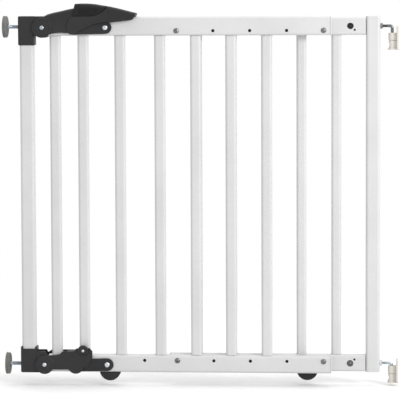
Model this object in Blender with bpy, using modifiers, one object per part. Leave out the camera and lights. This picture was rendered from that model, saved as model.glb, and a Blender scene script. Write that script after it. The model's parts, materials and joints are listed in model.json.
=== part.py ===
"""Extending metal stair gate with an over-centre toggle latch.

Frame: +Z up, X along the gate with +X towards the hinge wall, and -Y the side that the gate is
looked at from. The origin is the middle of the lower wall bracket's wall face. The gate leaf has a
main panel, an extension panel bolted behind it, and a latch post that two pairs of toggle links
push against the opposite wall. All lengths are in metres.
"""

import math

import bmesh
import bpy
from mathutils import Matrix, Vector

COLLECTION = "stair_gate"
FIT = 0.0003                      # gap left between pieces that touch

# Wall side: brackets, hooks and the vertical swing axis
SWING_X = -0.013                  # swing axis from the wall
BRACKET_Z = (0.0, 0.6667)         # middles of the two wall brackets
BRACKET_HALF_HEIGHT = 0.0235
BRACKET_HALF_DEPTH = 0.014
BRACKET_PLATE = 0.004
KNUCKLE_TOP = 0.0105              # above the bracket's middle
KNUCKLE_RADIUS = 0.0075
SOCKET_FLOOR = -0.0045            # the hook pin's socket ends here, and the screw block starts
HOOK_Z = (0.016, 0.691)
HOOK_RADIUS = 0.003
HOOK_BEND = 0.0045
HOOK_PIN_DROP = 0.020             # pin end below the rod's axis
HOOK_END_X = -0.108
DOWEL_X = -0.096
DOWEL_RADIUS = 0.0064

# Panels: tubes of the main panel (front) and the extension panel (behind it)
TUBE_WALL = 0.0015
MAIN_Y = -0.0205
EXTENSION_Y = 0.0
RAIL_DEPTH = 0.020
RAIL_CORNER = 0.005
MAIN_RAIL_X = (-0.698, -0.136)
MAIN_TOP_Z = (0.673, 0.711)
MAIN_BOTTOM_Z = (-0.002, 0.033)
EXTENSION_RAIL_X = (-0.456, -0.0653)
EXTENSION_TOP_Z = (0.673, 0.709)
EXTENSION_BOTTOM_Z = (-0.001, 0.033)
MAIN_BAR_X = (-0.6841, -0.6282, -0.5544, -0.4748, -0.4031, -0.3330, -0.2618)
MAIN_BAR_SIZE = (0.022, 0.014)
EXTENSION_BAR_X = (-0.4016, -0.3321, -0.2626, -0.1931, -0.1236)
EXTENSION_BAR_SIZE = (0.020, 0.012)
BAR_CORNER = 0.004
STILE_X = -0.05075
POST_SIZE = (0.0285, 0.022)       # hinge stile and latch post
POST_CORNER = 0.006
STILE_Z = (0.004, 0.705)
CAP_THICKNESS = 0.003

# Bolts that set the gate's width, and the spare holes of the width adjustment
BOLT_PITCH = 0.073
BOLT_X = (-0.441, -0.149)
SPARE_HOLE_X = tuple(BOLT_X[0] + BOLT_PITCH * step for step in (1, 2, 3))
BOLT_Z = (0.0225, 0.6825)
EXTRA_HOLE_X = -0.507
BOLT_RADIUS = 0.003
BOLT_HEAD_RADIUS = 0.0054
BOLT_HEAD_HEIGHT = 0.003
PILOT_HOLE_RADIUS = 0.0022
PILOT_HOLES = ((-0.0873, 0.0245), (-0.0873, 0.684))

# Floor glides
GLIDE_RADIUS = 0.0213
GLIDE_BOTTOM_Z = -0.0191
GLIDE_THICKNESS = 0.018
GLIDE_X = (-0.577, -0.1816)
PEG_RADIUS = 0.004

# Toggle latch: pivots of the upper and lower pairs of links
LINK_LENGTH = 0.063
REST_ANGLE = math.radians(1.5)    # the middle pivots rest this far below dead centre
POST_PIVOT_X = -0.7086
UPPER_PIVOT_Z = 0.6895
LOWER_PIVOT_Z = 0.0135
KNEE_X = POST_PIVOT_X + LINK_LENGTH * math.cos(REST_ANGLE)
KNEE_DROP = LINK_LENGTH * math.sin(REST_ANGLE)
LEAF_PIVOT_X = POST_PIVOT_X + 2 * LINK_LENGTH * math.cos(REST_ANGLE)
LINK_HALF_WIDTH = 0.0128
PIN_RADIUS = 0.004

# Layers of the latch, as distances from the main panel's middle plane
INNER_LAYER = (0.0104, 0.0136)    # links to the leaf, and the fittings' ears
ARM_LAYER = (0.0140, 0.0166)      # handle arm
LEVER_LAYER = (0.0140, 0.0176)    # lower lever
HUB_LAYER = (0.0146, 0.0183)      # discs round the post pivots
GRIP_LAYER = (0.0169, 0.0194)     # grip shell and thumb slider
STUD_LAYER = (0.0107, 0.0152)
HUB_RADIUS = 0.0201
HUB_LIP = 0.0006                  # the discs stand this far outside the plates behind them
PIVOT_BORE = 0.0028
BLEND = 0.0002                    # step between joined shapes whose edges would coincide

# Thumb slider's tongue and return spring, as distances from the upper post pivot
TONGUE_U = (0.0960, 0.1000)
TONGUE_W = (0.0227, 0.0410)
TONGUE_HALF = 0.004
SLOT_U = (0.0865, 0.1012)
RIB_U = (0.0660, 0.0680)
SPRING_W = 0.0300
SPRING_RADIUS = 0.0032
SPRING_WIRE = 0.0005
SPRING_TURNS = 7

# Latch post, its fittings and the pressure pads
POST_X = -0.7406
POST_Z = (0.001, 0.7095)
FITTING_SIZE = (0.0335, 0.0268)
TOP_FITTING_Z = (0.6543, 0.7127)
BOTTOM_FITTING_Z = (-0.0035, 0.0495)
EAR_RADIUS = 0.017
SPINDLE_Z = (LOWER_PIVOT_Z, 0.6915)
SPINDLE_RADIUS = 0.004
SPINDLE_END_X = -0.735
PAD_X = (-0.788, -0.779)
PAD_RADIUS = 0.022

# Catch on the lower lever
CATCH_U = 0.078
CATCH_W = 0.0286
CATCH_RADIUS = 0.011
CATCH_FLAT = 0.006                # the flat lies this far below the catch's centre
CATCH_LAYER = (0.0157, 0.0195)


# ---------------------------------------------------------------- scene and materials

def clear_scene():
    for item in list(bpy.data.objects):
        bpy.data.objects.remove(item, do_unlink=True)


def new_collection(name):
    collection = bpy.data.collections.new(name)
    bpy.context.scene.collection.children.link(collection)
    return collection


clear_scene()
parts = new_collection(COLLECTION)
cutters = new_collection(COLLECTION + "_cutters")


def material(name, colour, roughness, metallic=0.0):
    made = bpy.data.materials.new(name)
    made.use_nodes = True
    shader = made.node_tree.nodes["Principled BSDF"]
    shader.inputs["Base Color"].default_value = (*colour, 1.0)
    shader.inputs["Roughness"].default_value = roughness
    shader.inputs["Metallic"].default_value = metallic
    return made


WHITE_PAINT = material("white_powder_coat", (0.84, 0.84, 0.83), 0.45)
WHITE_PLASTIC = material("white_plastic", (0.80, 0.80, 0.79), 0.5)
BLACK_PLASTIC = material("black_plastic", (0.035, 0.035, 0.037), 0.5)
BRACKET_PLASTIC = material("ivory_plastic", (0.70, 0.68, 0.64), 0.5)
ZINC = material("zinc_plated_steel", (0.62, 0.64, 0.66), 0.3, 1.0)
GREY_RUBBER = material("grey_rubber", (0.22, 0.22, 0.21), 0.8)


# ---------------------------------------------------------------- outlines

def arc(centre, radius, start, end, steps):
    """Points along an arc, angles in degrees, both ends included."""
    points = []
    for step in range(steps + 1):
        angle = math.radians(start + (end - start) * step / steps)
        points.append((centre[0] + radius * math.cos(angle), centre[1] + radius * math.sin(angle)))
    return points


def circle(centre, radius, steps=16):
    return arc(centre, radius, 0.0, 360.0 * (steps - 1) / steps, steps - 1)


def rounded_rectangle(width, height, radius, steps=3):
    points = []
    for turn, (side, lift) in enumerate(((1, 1), (-1, 1), (-1, -1), (1, -1))):
        corner = (side * (width / 2 - radius), lift * (height / 2 - radius))
        points += arc(corner, radius, 90 * turn, 90 * turn + 90, steps)
    return points


def box(wide, high):
    """Outline of a rectangle given by its two spans."""
    return [(wide[1], high[1]), (wide[0], high[1]), (wide[0], high[0]), (wide[1], high[0])]


def stadium(start, end, radius, steps=10):
    """Two points joined by a bar with round ends."""
    heading = math.degrees(math.atan2(end[1] - start[1], end[0] - start[0]))
    return (arc(end, radius, heading - 90, heading + 90, steps)
            + arc(start, radius, heading + 90, heading + 270, steps))


# ---------------------------------------------------------------- building blocks

def link_object(name, data, finish, collection=None):
    item = bpy.data.objects.new(name, data)
    (collection or parts).objects.link(item)
    if finish:
        data.materials.append(finish)
    return item


def solid_mesh(source):
    """Turn an object with modifiers, or a curve, into a welded mesh object of the same name."""
    bpy.context.view_layer.update()
    evaluated = source.evaluated_get(bpy.context.evaluated_depsgraph_get())
    mesh = bpy.data.meshes.new_from_object(evaluated)
    work = bmesh.new()
    work.from_mesh(mesh)
    bmesh.ops.remove_doubles(work, verts=work.verts, dist=0.000001)
    bmesh.ops.recalc_face_normals(work, faces=work.faces)
    work.to_mesh(mesh)
    work.free()
    name = source.name
    matrix = source.matrix_world.copy()
    collection = source.users_collection[0]
    bpy.data.objects.remove(source, do_unlink=True)
    made = bpy.data.objects.new(name, mesh)
    made.matrix_world = matrix
    collection.objects.link(made)
    mesh.name = name
    return made


def shade_round(item, angle=35.0):
    item.data.shade_smooth()
    item.data.set_sharp_from_angle(angle=math.radians(angle))
    return item


def prism(name, outlines, span, axis, finish, origin=(0.0, 0.0, 0.0)):
    """Extrude flat outlines (the first is the outside, the others are holes) along an axis.

    On axis Y an outline's two values are X and Z, on axis Z they are X and Y, and on axis X they
    are Y and Z. The span gives the two ends along the axis, from the origin.
    """
    curve = bpy.data.curves.new(name, "CURVE")
    curve.dimensions = "2D"
    curve.fill_mode = "BOTH"
    curve.extrude = (span[1] - span[0]) / 2
    for outline in outlines:
        spline = curve.splines.new("POLY")
        spline.points.add(len(outline) - 1)
        for point, (across, up) in zip(spline.points, outline):
            point.co = (across, up, 0.0, 1.0)
        spline.use_cyclic_u = True
    item = link_object(name, curve, finish)
    middle = (span[0] + span[1]) / 2
    turn = {"X": Matrix(((0, 0, 1), (1, 0, 0), (0, 1, 0))),
            "Y": Matrix(((1, 0, 0), (0, 0, -1), (0, 1, 0))),
            "Z": Matrix.Identity(3)}[axis]
    shift = {"X": Vector((middle, 0, 0)), "Y": Vector((0, middle, 0)),
             "Z": Vector((0, 0, middle))}[axis]
    item.matrix_world = Matrix.Translation(Vector(origin) + shift) @ turn.to_4x4()
    return solid_mesh(item)


def turned(name, profile, axis, finish, origin, steps=20):
    """Turn a profile of (distance along the axis, radius) about the axis through the origin.

    The profile runs from its far end to its near end on the outer side, and starts and ends on
    the axis.
    """
    mesh = bpy.data.meshes.new(name)
    points = [(radius, 0.0, along) for along, radius in profile]
    mesh.from_pydata(points, [(step, step + 1) for step in range(len(points) - 1)], [])
    item = link_object(name, mesh, finish)
    screw = item.modifiers.new("turn", "SCREW")
    screw.axis = "Z"
    screw.steps = steps
    screw.render_steps = steps
    screw.use_merge_vertices = True
    screw.merge_threshold = 0.00001
    heading = {"X": Vector((1, 0, 0)), "-X": Vector((-1, 0, 0)), "Y": Vector((0, 1, 0)),
               "-Y": Vector((0, -1, 0)), "Z": Vector((0, 0, 1)), "-Z": Vector((0, 0, -1))}[axis]
    turn = heading.to_track_quat("Z", "Y").to_matrix().to_4x4()
    item.matrix_world = Matrix.Translation(origin) @ turn
    return shade_round(solid_mesh(item))


def rod(name, start, length, radius, axis, finish, steps=16):
    return turned(name, [(length, 0.0), (length, radius), (0.0, radius), (0.0, 0.0)],
                  axis, finish, start, steps)


def boolean(target, tools, operation="DIFFERENCE"):
    """Cut tools out of the target, or join them to it."""
    for tool in tools:
        for collection in list(tool.users_collection):
            collection.objects.unlink(tool)
        cutters.objects.link(tool)
        tool.hide_render = True
        tool.display_type = "WIRE"
        step = target.modifiers.new(operation.lower(), "BOOLEAN")
        step.operation = operation
        step.solver = "EXACT"
        step.object = tool
    return target


def fuse(name, pieces):
    """Join overlapping bodies into one closed mesh."""
    body = solid_mesh(boolean(pieces[0], pieces[1:], "UNION"))
    body.name = name
    body.data.name = name
    for piece in pieces[1:]:
        bpy.data.objects.remove(piece, do_unlink=True)
    return shade_round(body)


def mirrored_pair(outlines, layer, finish, name):
    """The same plate on both sides of the main panel: (front, back)."""
    low, high = layer
    front = prism(name + "_front", outlines, (MAIN_Y - high, MAIN_Y - low), "Y", finish)
    back = prism(name + "_back", outlines, (MAIN_Y + low, MAIN_Y + high), "Y", finish)
    return front, back


# ---------------------------------------------------------------- wall brackets

def plan(radius, root):
    """Outline in plan of a block with a round nose about the swing axis, rooted in the plate."""
    return arc((SWING_X, 0.0), radius, 90, 270, 12) + [(-root, -radius), (-root, radius)]


def wall_bracket(name, middle):
    plate = prism(name, [rounded_rectangle(2 * BRACKET_HALF_DEPTH, 2 * BRACKET_HALF_HEIGHT, 0.003)],
                  (-BRACKET_PLATE, 0.0), "X", BRACKET_PLASTIC, (0.0, 0.0, middle))
    socket = prism("socket", [plan(KNUCKLE_RADIUS, 0.0010)], (SOCKET_FLOOR + 0.0005, KNUCKLE_TOP),
                   "Z", BRACKET_PLASTIC, (0.0, 0.0, middle))
    neck = prism("neck", [plan(KNUCKLE_RADIUS - 0.0018, 0.0014)],
                 (SOCKET_FLOOR - 0.002, SOCKET_FLOOR + 0.001), "Z", BRACKET_PLASTIC,
                 (0.0, 0.0, middle))
    block = prism("block", [plan(KNUCKLE_RADIUS - 0.0007, 0.0018)], (-0.0205, SOCKET_FLOOR - 0.001),
                  "Z", BRACKET_PLASTIC, (0.0, 0.0, middle))
    flange = prism("flange", [plan(KNUCKLE_RADIUS + 0.001, 0.0022)], (-0.0234, -0.0203),
                   "Z", BRACKET_PLASTIC, (0.0, 0.0, middle))
    body = fuse(name, [plate, socket, neck, block, flange])
    bore = rod(name + "_bore", (SWING_X, 0.0, middle + SOCKET_FLOOR), 0.05, HOOK_RADIUS + FIT,
               "Z", None)
    low_screw = turned(name + "_low_hole", [(0.03, 0.0), (0.03, 0.0046), (0.009, 0.0046),
                                            (0.009, 0.0023), (-0.01, 0.0023), (-0.01, 0.0)],
                       "-X", None, (0.0, 0.0, middle - 0.0135), 16)
    high_screw = turned(name + "_high_hole", [(0.006, 0.0), (0.006, 0.0047), (0.0042, 0.0047),
                                              (0.0016, 0.0023), (-0.01, 0.0023), (-0.01, 0.0)],
                        "-X", None, (0.0, 0.0, middle + 0.018), 16)
    return boolean(body, [bore, low_screw, high_screw])


def build_wall_side():
    wall_bracket("wall_bracket_lower", BRACKET_Z[0])
    wall_bracket("wall_bracket_upper", BRACKET_Z[1])


# ---------------------------------------------------------------- panels

def tube(name, size, corner, span, axis, origin, steps=3):
    """Hollow tube with round corners."""
    inside = (size[0] - 2 * TUBE_WALL, size[1] - 2 * TUBE_WALL)
    return shade_round(prism(name, [rounded_rectangle(*size, corner, steps),
                                    rounded_rectangle(*inside, corner - TUBE_WALL, steps)],
                             span, axis, WHITE_PAINT, origin))


def across(name, x, y, z, radius, reach=0.014):
    """Cutter along Y through a rail."""
    return rod(name, (x, y - reach, z), 2 * reach, radius, "Y", None, 12)


def along(name, x, z, radius, length=0.006, y=EXTENSION_Y):
    """Cutter along X through a tube wall."""
    return rod(name, (x - length / 2, y, z), length, radius, "X", None, 12)


def rail(name, x_span, z_span, y, holes, peg_x=None):
    size = (RAIL_DEPTH, z_span[1] - z_span[0])
    body = tube(name, size, RAIL_CORNER, x_span, "X", (0.0, y, sum(z_span) / 2))
    tools = [across(f"{name}_hole_{at}", x, y, z, radius) for at, (x, z, radius) in enumerate(holes)]
    if peg_x is not None:
        tools.append(rod(name + "_peg_hole", (peg_x, y, z_span[0] - 0.002), 0.005,
                         PEG_RADIUS + FIT, "Z", None, 12))
    return boolean(body, tools)


def end_cap(name, x, z_span, y, facing):
    """Plug with a flange; facing is +1 where the cap closes the tube's +X end."""
    height = z_span[1] - z_span[0]
    middle = (0.0, y, (z_span[0] + z_span[1]) / 2)
    outer = sorted((x + facing * FIT, x + facing * CAP_THICKNESS))
    inner = sorted((x + facing * 0.001, x - facing * 0.008))
    flange = prism(name, [rounded_rectangle(RAIL_DEPTH, height, RAIL_CORNER)], outer, "X",
                   WHITE_PLASTIC, middle)
    inset = 2 * (TUBE_WALL + FIT)
    plug = prism("plug", [rounded_rectangle(RAIL_DEPTH - inset, height - inset, RAIL_CORNER - inset / 2)],
                 inner, "X", WHITE_PLASTIC, middle)
    return fuse(name, [flange, plug])


def bar(name, x, y, size, bottom, top):
    return tube(name, size, BAR_CORNER, (bottom + FIT, top - FIT), "Z", (x, y, 0.0), 2)


def hexagon(name, start, thickness, radius, axis, finish, hole):
    """Hexagon nut with its axis along X or Y."""
    return prism(name, [circle((0.0, 0.0), radius, 6), circle((0.0, 0.0), hole, 12)],
                 (0.0, thickness), axis, finish, start)


def build_main_panel():
    hole = BOLT_RADIUS + FIT
    bolts = [(x, hole) for x in BOLT_X + SPARE_HOLE_X]
    top_holes = [(x, BOLT_Z[1], r) for x, r in bolts] + [(LEAF_PIVOT_X, UPPER_PIVOT_Z, hole)]
    bottom_holes = [(x, BOLT_Z[0], r) for x, r in bolts] + [(LEAF_PIVOT_X, LOWER_PIVOT_Z, hole),
                                                           (EXTRA_HOLE_X, BOLT_Z[0], hole)]
    rail("main_top_rail", MAIN_RAIL_X, MAIN_TOP_Z, MAIN_Y, top_holes)
    rail("main_bottom_rail", MAIN_RAIL_X, MAIN_BOTTOM_Z, MAIN_Y, bottom_holes, GLIDE_X[0])
    for number, x in enumerate(MAIN_BAR_X, 1):
        bar(f"main_bar_{number}", x, MAIN_Y, MAIN_BAR_SIZE, MAIN_BOTTOM_Z[1], MAIN_TOP_Z[0])
    end_cap("main_top_rail_cap", MAIN_RAIL_X[1], MAIN_TOP_Z, MAIN_Y, 1)
    end_cap("main_bottom_rail_cap", MAIN_RAIL_X[1], MAIN_BOTTOM_Z, MAIN_Y, 1)


def build_extension_panel():
    hole = BOLT_RADIUS + FIT
    for level, (name, z_span) in enumerate((("extension_bottom_rail", EXTENSION_BOTTOM_Z),
                                            ("extension_top_rail", EXTENSION_TOP_Z))):
        holes = [(x, BOLT_Z[level], hole) for x in BOLT_X]
        holes.append((DOWEL_X, HOOK_Z[level], DOWEL_RADIUS + FIT))
        holes.append((*PILOT_HOLES[level], PILOT_HOLE_RADIUS))
        peg = GLIDE_X[1] if level == 0 else None
        rail(name, EXTENSION_RAIL_X, z_span, EXTENSION_Y, holes, peg)
    for number, x in enumerate(EXTENSION_BAR_X, 1):
        bar(f"extension_bar_{number}", x, EXTENSION_Y, EXTENSION_BAR_SIZE,
            EXTENSION_BOTTOM_Z[1], EXTENSION_TOP_Z[0])


def build_hinge_stile():
    stile = tube("hinge_stile", POST_SIZE, POST_CORNER, STILE_Z, "Z", (STILE_X, EXTENSION_Y, 0.0))
    half = POST_SIZE[0] / 2
    tools = []
    for level, z in enumerate(HOOK_Z):
        for side in (-1, 1):
            tools.append(along(f"stile_hole_{level}_{side}", STILE_X + side * half, z,
                               HOOK_RADIUS + FIT))
    boolean(stile, tools)
    for name, end, outward in (("stile_plug_bottom", STILE_Z[0], -1),
                               ("stile_plug_top", STILE_Z[1], 1)):
        outside = sorted((end + outward * FIT, end + outward * 0.006))
        inside = sorted((end - outward * 0.006, end + outward * 0.001))
        inset = 2 * (TUBE_WALL + FIT)
        head = prism(name, [rounded_rectangle(*POST_SIZE, POST_CORNER)], outside, "Z",
                     WHITE_PLASTIC, (STILE_X, EXTENSION_Y, 0.0))
        stem = prism("stem", [rounded_rectangle(POST_SIZE[0] - inset, POST_SIZE[1] - inset,
                                                POST_CORNER - inset / 2)],
                     inside, "Z", WHITE_PLASTIC, (STILE_X, EXTENSION_Y, 0.0))
        fuse(name, [head, stem])


def hinge_hook(name, height):
    """Threaded rod bent down at its wall end, where its pin drops into the bracket."""
    points = [(HOOK_END_X, 0.0, height), (SWING_X - HOOK_BEND, 0.0, height)]
    for x, z in arc((SWING_X - HOOK_BEND, height - HOOK_BEND), HOOK_BEND, 80, 0, 5):
        points.append((x, 0.0, z))
    points.append((SWING_X, 0.0, height - HOOK_PIN_DROP))
    curve = bpy.data.curves.new(name, "CURVE")
    curve.dimensions = "3D"
    curve.bevel_depth = HOOK_RADIUS
    curve.bevel_resolution = 3
    curve.use_fill_caps = True
    spline = curve.splines.new("POLY")
    spline.points.add(len(points) - 1)
    for point, place in zip(spline.points, points):
        point.co = (*place, 1.0)
    return shade_round(solid_mesh(link_object(name, curve, ZINC)), 50.0)


def build_hooks():
    stile_face = STILE_X + POST_SIZE[0] / 2
    for level, height in zip(("lower", "upper"), HOOK_Z):
        hinge_hook(f"hinge_hook_{level}", height)
        hexagon(f"hook_lock_nut_{level}", (stile_face + FIT, 0.0, height), 0.0045, 0.0062, "X", ZINC,
                HOOK_RADIUS + 0.0002)
        dowel = rod(f"hook_dowel_{level}", (DOWEL_X, -0.0103, height), 0.0206, DOWEL_RADIUS, "Y",
                    BLACK_PLASTIC)
        boolean(dowel, [along(f"dowel_bore_{level}", DOWEL_X, height, HOOK_RADIUS + FIT, 0.02)])


def button_bolt(name, x, z, face_y, end_y, head_radius=BOLT_HEAD_RADIUS):
    """Bolt along +Y with a domed head whose underside rests on the plane face_y."""
    length = end_y - face_y
    head = BOLT_HEAD_HEIGHT
    profile = [(length, 0.0), (length, BOLT_RADIUS), (-FIT, BOLT_RADIUS), (-FIT, head_radius),
               (-0.35 * head, 0.93 * head_radius), (-0.8 * head, 0.62 * head_radius), (-head, 0.0)]
    return turned(name, profile, "Y", ZINC, (x, face_y, z), 16)


def build_panel_bolts():
    face = MAIN_Y - RAIL_DEPTH / 2
    back = EXTENSION_Y + RAIL_DEPTH / 2
    for side, x in zip(("left", "right"), BOLT_X):
        for level, z in zip(("lower", "upper"), BOLT_Z):
            button_bolt(f"panel_bolt_{level}_{side}", x, z, face, back + 0.006)


def glide(name, x, y, rail_bottom):
    """Half disc under a rail, held by a peg through the rail's lower wall."""
    top = rail_bottom - FIT
    centre = GLIDE_BOTTOM_Z + GLIDE_RADIUS
    angle = math.degrees(math.asin((centre - top) / GLIDE_RADIUS))
    disc = prism(name, [arc((x, centre), GLIDE_RADIUS, 180 + angle, 360 - angle, 18)],
                 (y - GLIDE_THICKNESS / 2, y + GLIDE_THICKNESS / 2), "Y", BLACK_PLASTIC)
    peg = rod("peg", (x, y, top - 0.004), 0.009, PEG_RADIUS, "Z", BLACK_PLASTIC, 12)
    return fuse(name, [disc, peg])


# ---------------------------------------------------------------- latch

def shifted(points, x, z):
    """Outline given from a pivot, moved to that pivot's place."""
    return [(x + point[0], z + point[1]) for point in points]


def build_links():
    """Links from the leaf to the knees: one plate on each side of the rail."""
    for name, height in (("upper_link", UPPER_PIVOT_Z), ("lower_link", LOWER_PIVOT_Z)):
        knee = (KNEE_X, height - KNEE_DROP)
        pivot = (LEAF_PIVOT_X, height)
        outlines = [stadium(knee, pivot, LINK_HALF_WIDTH), circle(knee, PIN_RADIUS + FIT),
                    circle(pivot, BOLT_RADIUS + FIT, 12)]
        mirrored_pair(outlines, INNER_LAYER, BLACK_PLASTIC, name)
    reach = INNER_LAYER[1]
    for level, height in (("upper", UPPER_PIVOT_Z), ("lower", LOWER_PIVOT_Z)):
        button_bolt(f"link_bolt_{level}", LEAF_PIVOT_X, height, MAIN_Y - reach, MAIN_Y + reach + 0.0045)


def knee_studs(height):
    """Studs on the inside of the arm or lever that the links turn on, front and back."""
    low, high = STUD_LAYER
    place = (KNEE_X, height - KNEE_DROP)
    front = rod("stud", (place[0], MAIN_Y - high, place[1]), high - low, PIN_RADIUS, "Y", BLACK_PLASTIC)
    back = rod("stud", (place[0], MAIN_Y + low, place[1]), high - low, PIN_RADIUS, "Y", BLACK_PLASTIC)
    return [front, back]


def pivot_screws(level, height):
    """Screws into the fitting's ears that the arm or lever turns on."""
    inner, outer = 0.0106, HUB_LAYER[1]
    head = outer + FIT
    profile = [(head + 0.0018, 0.0), (head + 0.0014, 0.0030), (head, 0.0042), (head, 0.0025),
               (inner, 0.0025), (inner, 0.0)]
    for side, axis in (("front", "-Y"), ("back", "Y")):
        turned(f"{level}_pivot_screw_{side}", profile, axis, ZINC, (POST_PIVOT_X, MAIN_Y, height), 14)


ARM_TOP = [(0.140, 0.0350), (0.125, 0.0380), (0.100, 0.0395), (0.075, 0.0393), (0.0592, 0.0378),
           (0.0374, 0.0330), (0.0215, 0.0296), (0.0096, 0.0263)]
ARM_BOTTOM = [(0.0175, -0.0128), (0.0374, -0.0102), (0.0470, -0.0108)]
ARM_RIGHT = [(0.077, -0.0035), (0.089, 0.0030), (0.103, 0.0080), (0.125, 0.0125), (0.140, 0.0140)]
GRIP_LOW = [(0.062, -0.0135), (0.0682, -0.0095), (0.077, -0.0058), (0.089, 0.0004),
            (0.103, 0.0058), (0.117, 0.0092), (0.126, 0.0103), (0.137, 0.0100), (0.150, 0.0114),
            (0.166, 0.0130), (0.178, 0.0145), (0.1824, 0.0168), (0.1874, 0.0258), (0.1876, 0.0290)]
GRIP_TOP = [(0.1725, 0.0324), (0.1566, 0.0366), (0.1440, 0.0396), (0.1320, 0.0422)]
GRIP_RECESS = [(0.1300, 0.0394), (0.1240, 0.0340), (0.1160, 0.0280), (0.1060, 0.0238),
               (0.0960, 0.0226)]
GRIP_LEFT = [(0.0600, 0.0226), (0.0550, 0.0180), (0.0510, 0.0110), (0.0493, 0.0035),
             (0.0505, -0.0050), (0.0535, -0.0115), (0.0570, -0.0142)]
SLIDER_LEFT = [(0.0608, 0.0230), (0.0664, 0.0470)]
SLIDER_TOP = [(0.0800, 0.0480), (0.0930, 0.0479), (0.1069, 0.0466), (0.1200, 0.0443),
              (0.1300, 0.0424)]
WEB = 0.003


def strip(ridge):
    """Closed outline of a web that follows the underside of a ridge line."""
    upper = [(point[0], point[1] - BLEND) for point in ridge]
    lower = [(point[0], point[1] - WEB) for point in reversed(ridge)]
    return upper + lower


def build_handle():
    """Arm, grip shell and thumb slider, outlined from the upper post pivot."""
    x, z = POST_PIVOT_X, UPPER_PIVOT_Z
    knee = (KNEE_X - x, -KNEE_DROP)
    cheek = (arc((0, 0), HUB_RADIUS - HUB_LIP, 70, 310, 20) + ARM_BOTTOM
             + arc(knee, 0.0115, 235, 330, 5) + ARM_RIGHT + ARM_TOP + [(0.005, 0.0246)])
    front, back = mirrored_pair([shifted(cheek, x, z)], ARM_LAYER, BLACK_PLASTIC, "arm")
    discs = mirrored_pair([circle((x, z), HUB_RADIUS, 32)], HUB_LAYER, BLACK_PLASTIC, "disc")
    web = prism("web", [shifted(strip(ARM_TOP), x, z)],
                (MAIN_Y - ARM_LAYER[1] + 0.0005, MAIN_Y + ARM_LAYER[1] - 0.0005), "Y", BLACK_PLASTIC)
    rib = prism("rib", [shifted(box(RIB_U, (0.026, 0.0372)), x, z)], (MAIN_Y - 0.0055, MAIN_Y + 0.0055),
                "Y", BLACK_PLASTIC)
    arm = fuse("handle_arm", [front, back, *discs, web, rib, *knee_studs(UPPER_PIVOT_Z)])
    slot = prism("tongue_slot", [shifted(box(SLOT_U, (0.030, 0.045)), x, z)],
                 (MAIN_Y - TONGUE_HALF - 0.0006, MAIN_Y + TONGUE_HALF + 0.0006), "Y", None)
    boolean(arm, [across("arm_bore", x, MAIN_Y, z, PIVOT_BORE, 0.022), slot])

    shell = GRIP_LOW + GRIP_TOP + GRIP_RECESS + GRIP_LEFT
    front, back = mirrored_pair([shifted(shell, x, z)], GRIP_LAYER, BLACK_PLASTIC, "grip")
    roof = prism("roof", [shifted(strip([(0.1868, 0.0290)] + GRIP_TOP), x, z)],
                 (MAIN_Y - GRIP_LAYER[1] + 0.0005, MAIN_Y + GRIP_LAYER[1] - 0.0005), "Y",
                 BLACK_PLASTIC)
    grip = fuse("handle_grip", [front, back, roof])

    edge = [(point[0] - 0.0006, point[1] + 0.0004) for point in GRIP_RECESS[:-1]]
    side = [(0.0960, 0.0230)] + SLIDER_LEFT + SLIDER_TOP + edge
    front, back = mirrored_pair([shifted(side, x, z)], GRIP_LAYER, BLACK_PLASTIC, "skirt")
    top = [(point[0], point[1] - BLEND) for point in [(0.0668, 0.0470)] + SLIDER_TOP]
    floor = [(0.1294, 0.0402), (0.0655, 0.0402)]
    saddle = prism("saddle", [shifted(top + floor, x, z)],
                   (MAIN_Y - GRIP_LAYER[1] + 0.0005, MAIN_Y + GRIP_LAYER[1] - 0.0005), "Y",
                   BLACK_PLASTIC)
    tongue = prism("tongue", [shifted(box(TONGUE_U, TONGUE_W), x, z)],
                   (MAIN_Y - TONGUE_HALF, MAIN_Y + TONGUE_HALF), "Y", BLACK_PLASTIC)
    slider = fuse("thumb_slider", [front, back, saddle, tongue])
    return arm, grip, slider


def build_slider_spring():
    """Coil spring between the arm's rib and the slider's tongue."""
    start = POST_PIVOT_X + RIB_U[1] + FIT + SPRING_WIRE
    end = POST_PIVOT_X + TONGUE_U[0] - FIT - SPRING_WIRE
    steps = 9 * SPRING_TURNS
    curve = bpy.data.curves.new("slider_spring", "CURVE")
    curve.dimensions = "3D"
    curve.bevel_depth = SPRING_WIRE
    curve.bevel_resolution = 1
    curve.use_fill_caps = True
    spline = curve.splines.new("POLY")
    spline.points.add(steps)
    for step, point in enumerate(spline.points):
        angle = 2 * math.pi * SPRING_TURNS * step / steps
        point.co = (start + (end - start) * step / steps, MAIN_Y + SPRING_RADIUS * math.cos(angle),
                    UPPER_PIVOT_Z + SPRING_W + SPRING_RADIUS * math.sin(angle), 1.0)
    return shade_round(solid_mesh(link_object("slider_spring", curve, ZINC)), 60.0)


def fitting_shell(name, z_span):
    """Sleeve round the latch post's end, closed at the far end by the caller's pocket."""
    return prism(name, [rounded_rectangle(*FITTING_SIZE, 0.004)], z_span, "Z", BLACK_PLASTIC,
                 (POST_X, MAIN_Y, 0.0))


def post_pocket(name, z_span):
    size = (POST_SIZE[0] + 2 * FIT, POST_SIZE[1] + 2 * FIT)
    return prism(name, [rounded_rectangle(*size, POST_CORNER)], z_span, "Z", None,
                 (POST_X, MAIN_Y, 0.0))


def ear_outline(height, top, bottom):
    """Plate from the fitting to the pivot, with a round lower end."""
    root = POST_X + FITTING_SIZE[0] / 2 - 0.002
    pivot = (POST_PIVOT_X, height)
    return ([(root, bottom), (POST_PIVOT_X - 0.004, bottom)]
            + arc(pivot, EAR_RADIUS, -75, 40, 10)
            + [(POST_PIVOT_X + 0.0030, top - 0.004), (POST_PIVOT_X + 0.0012, top), (root, top)])


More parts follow.
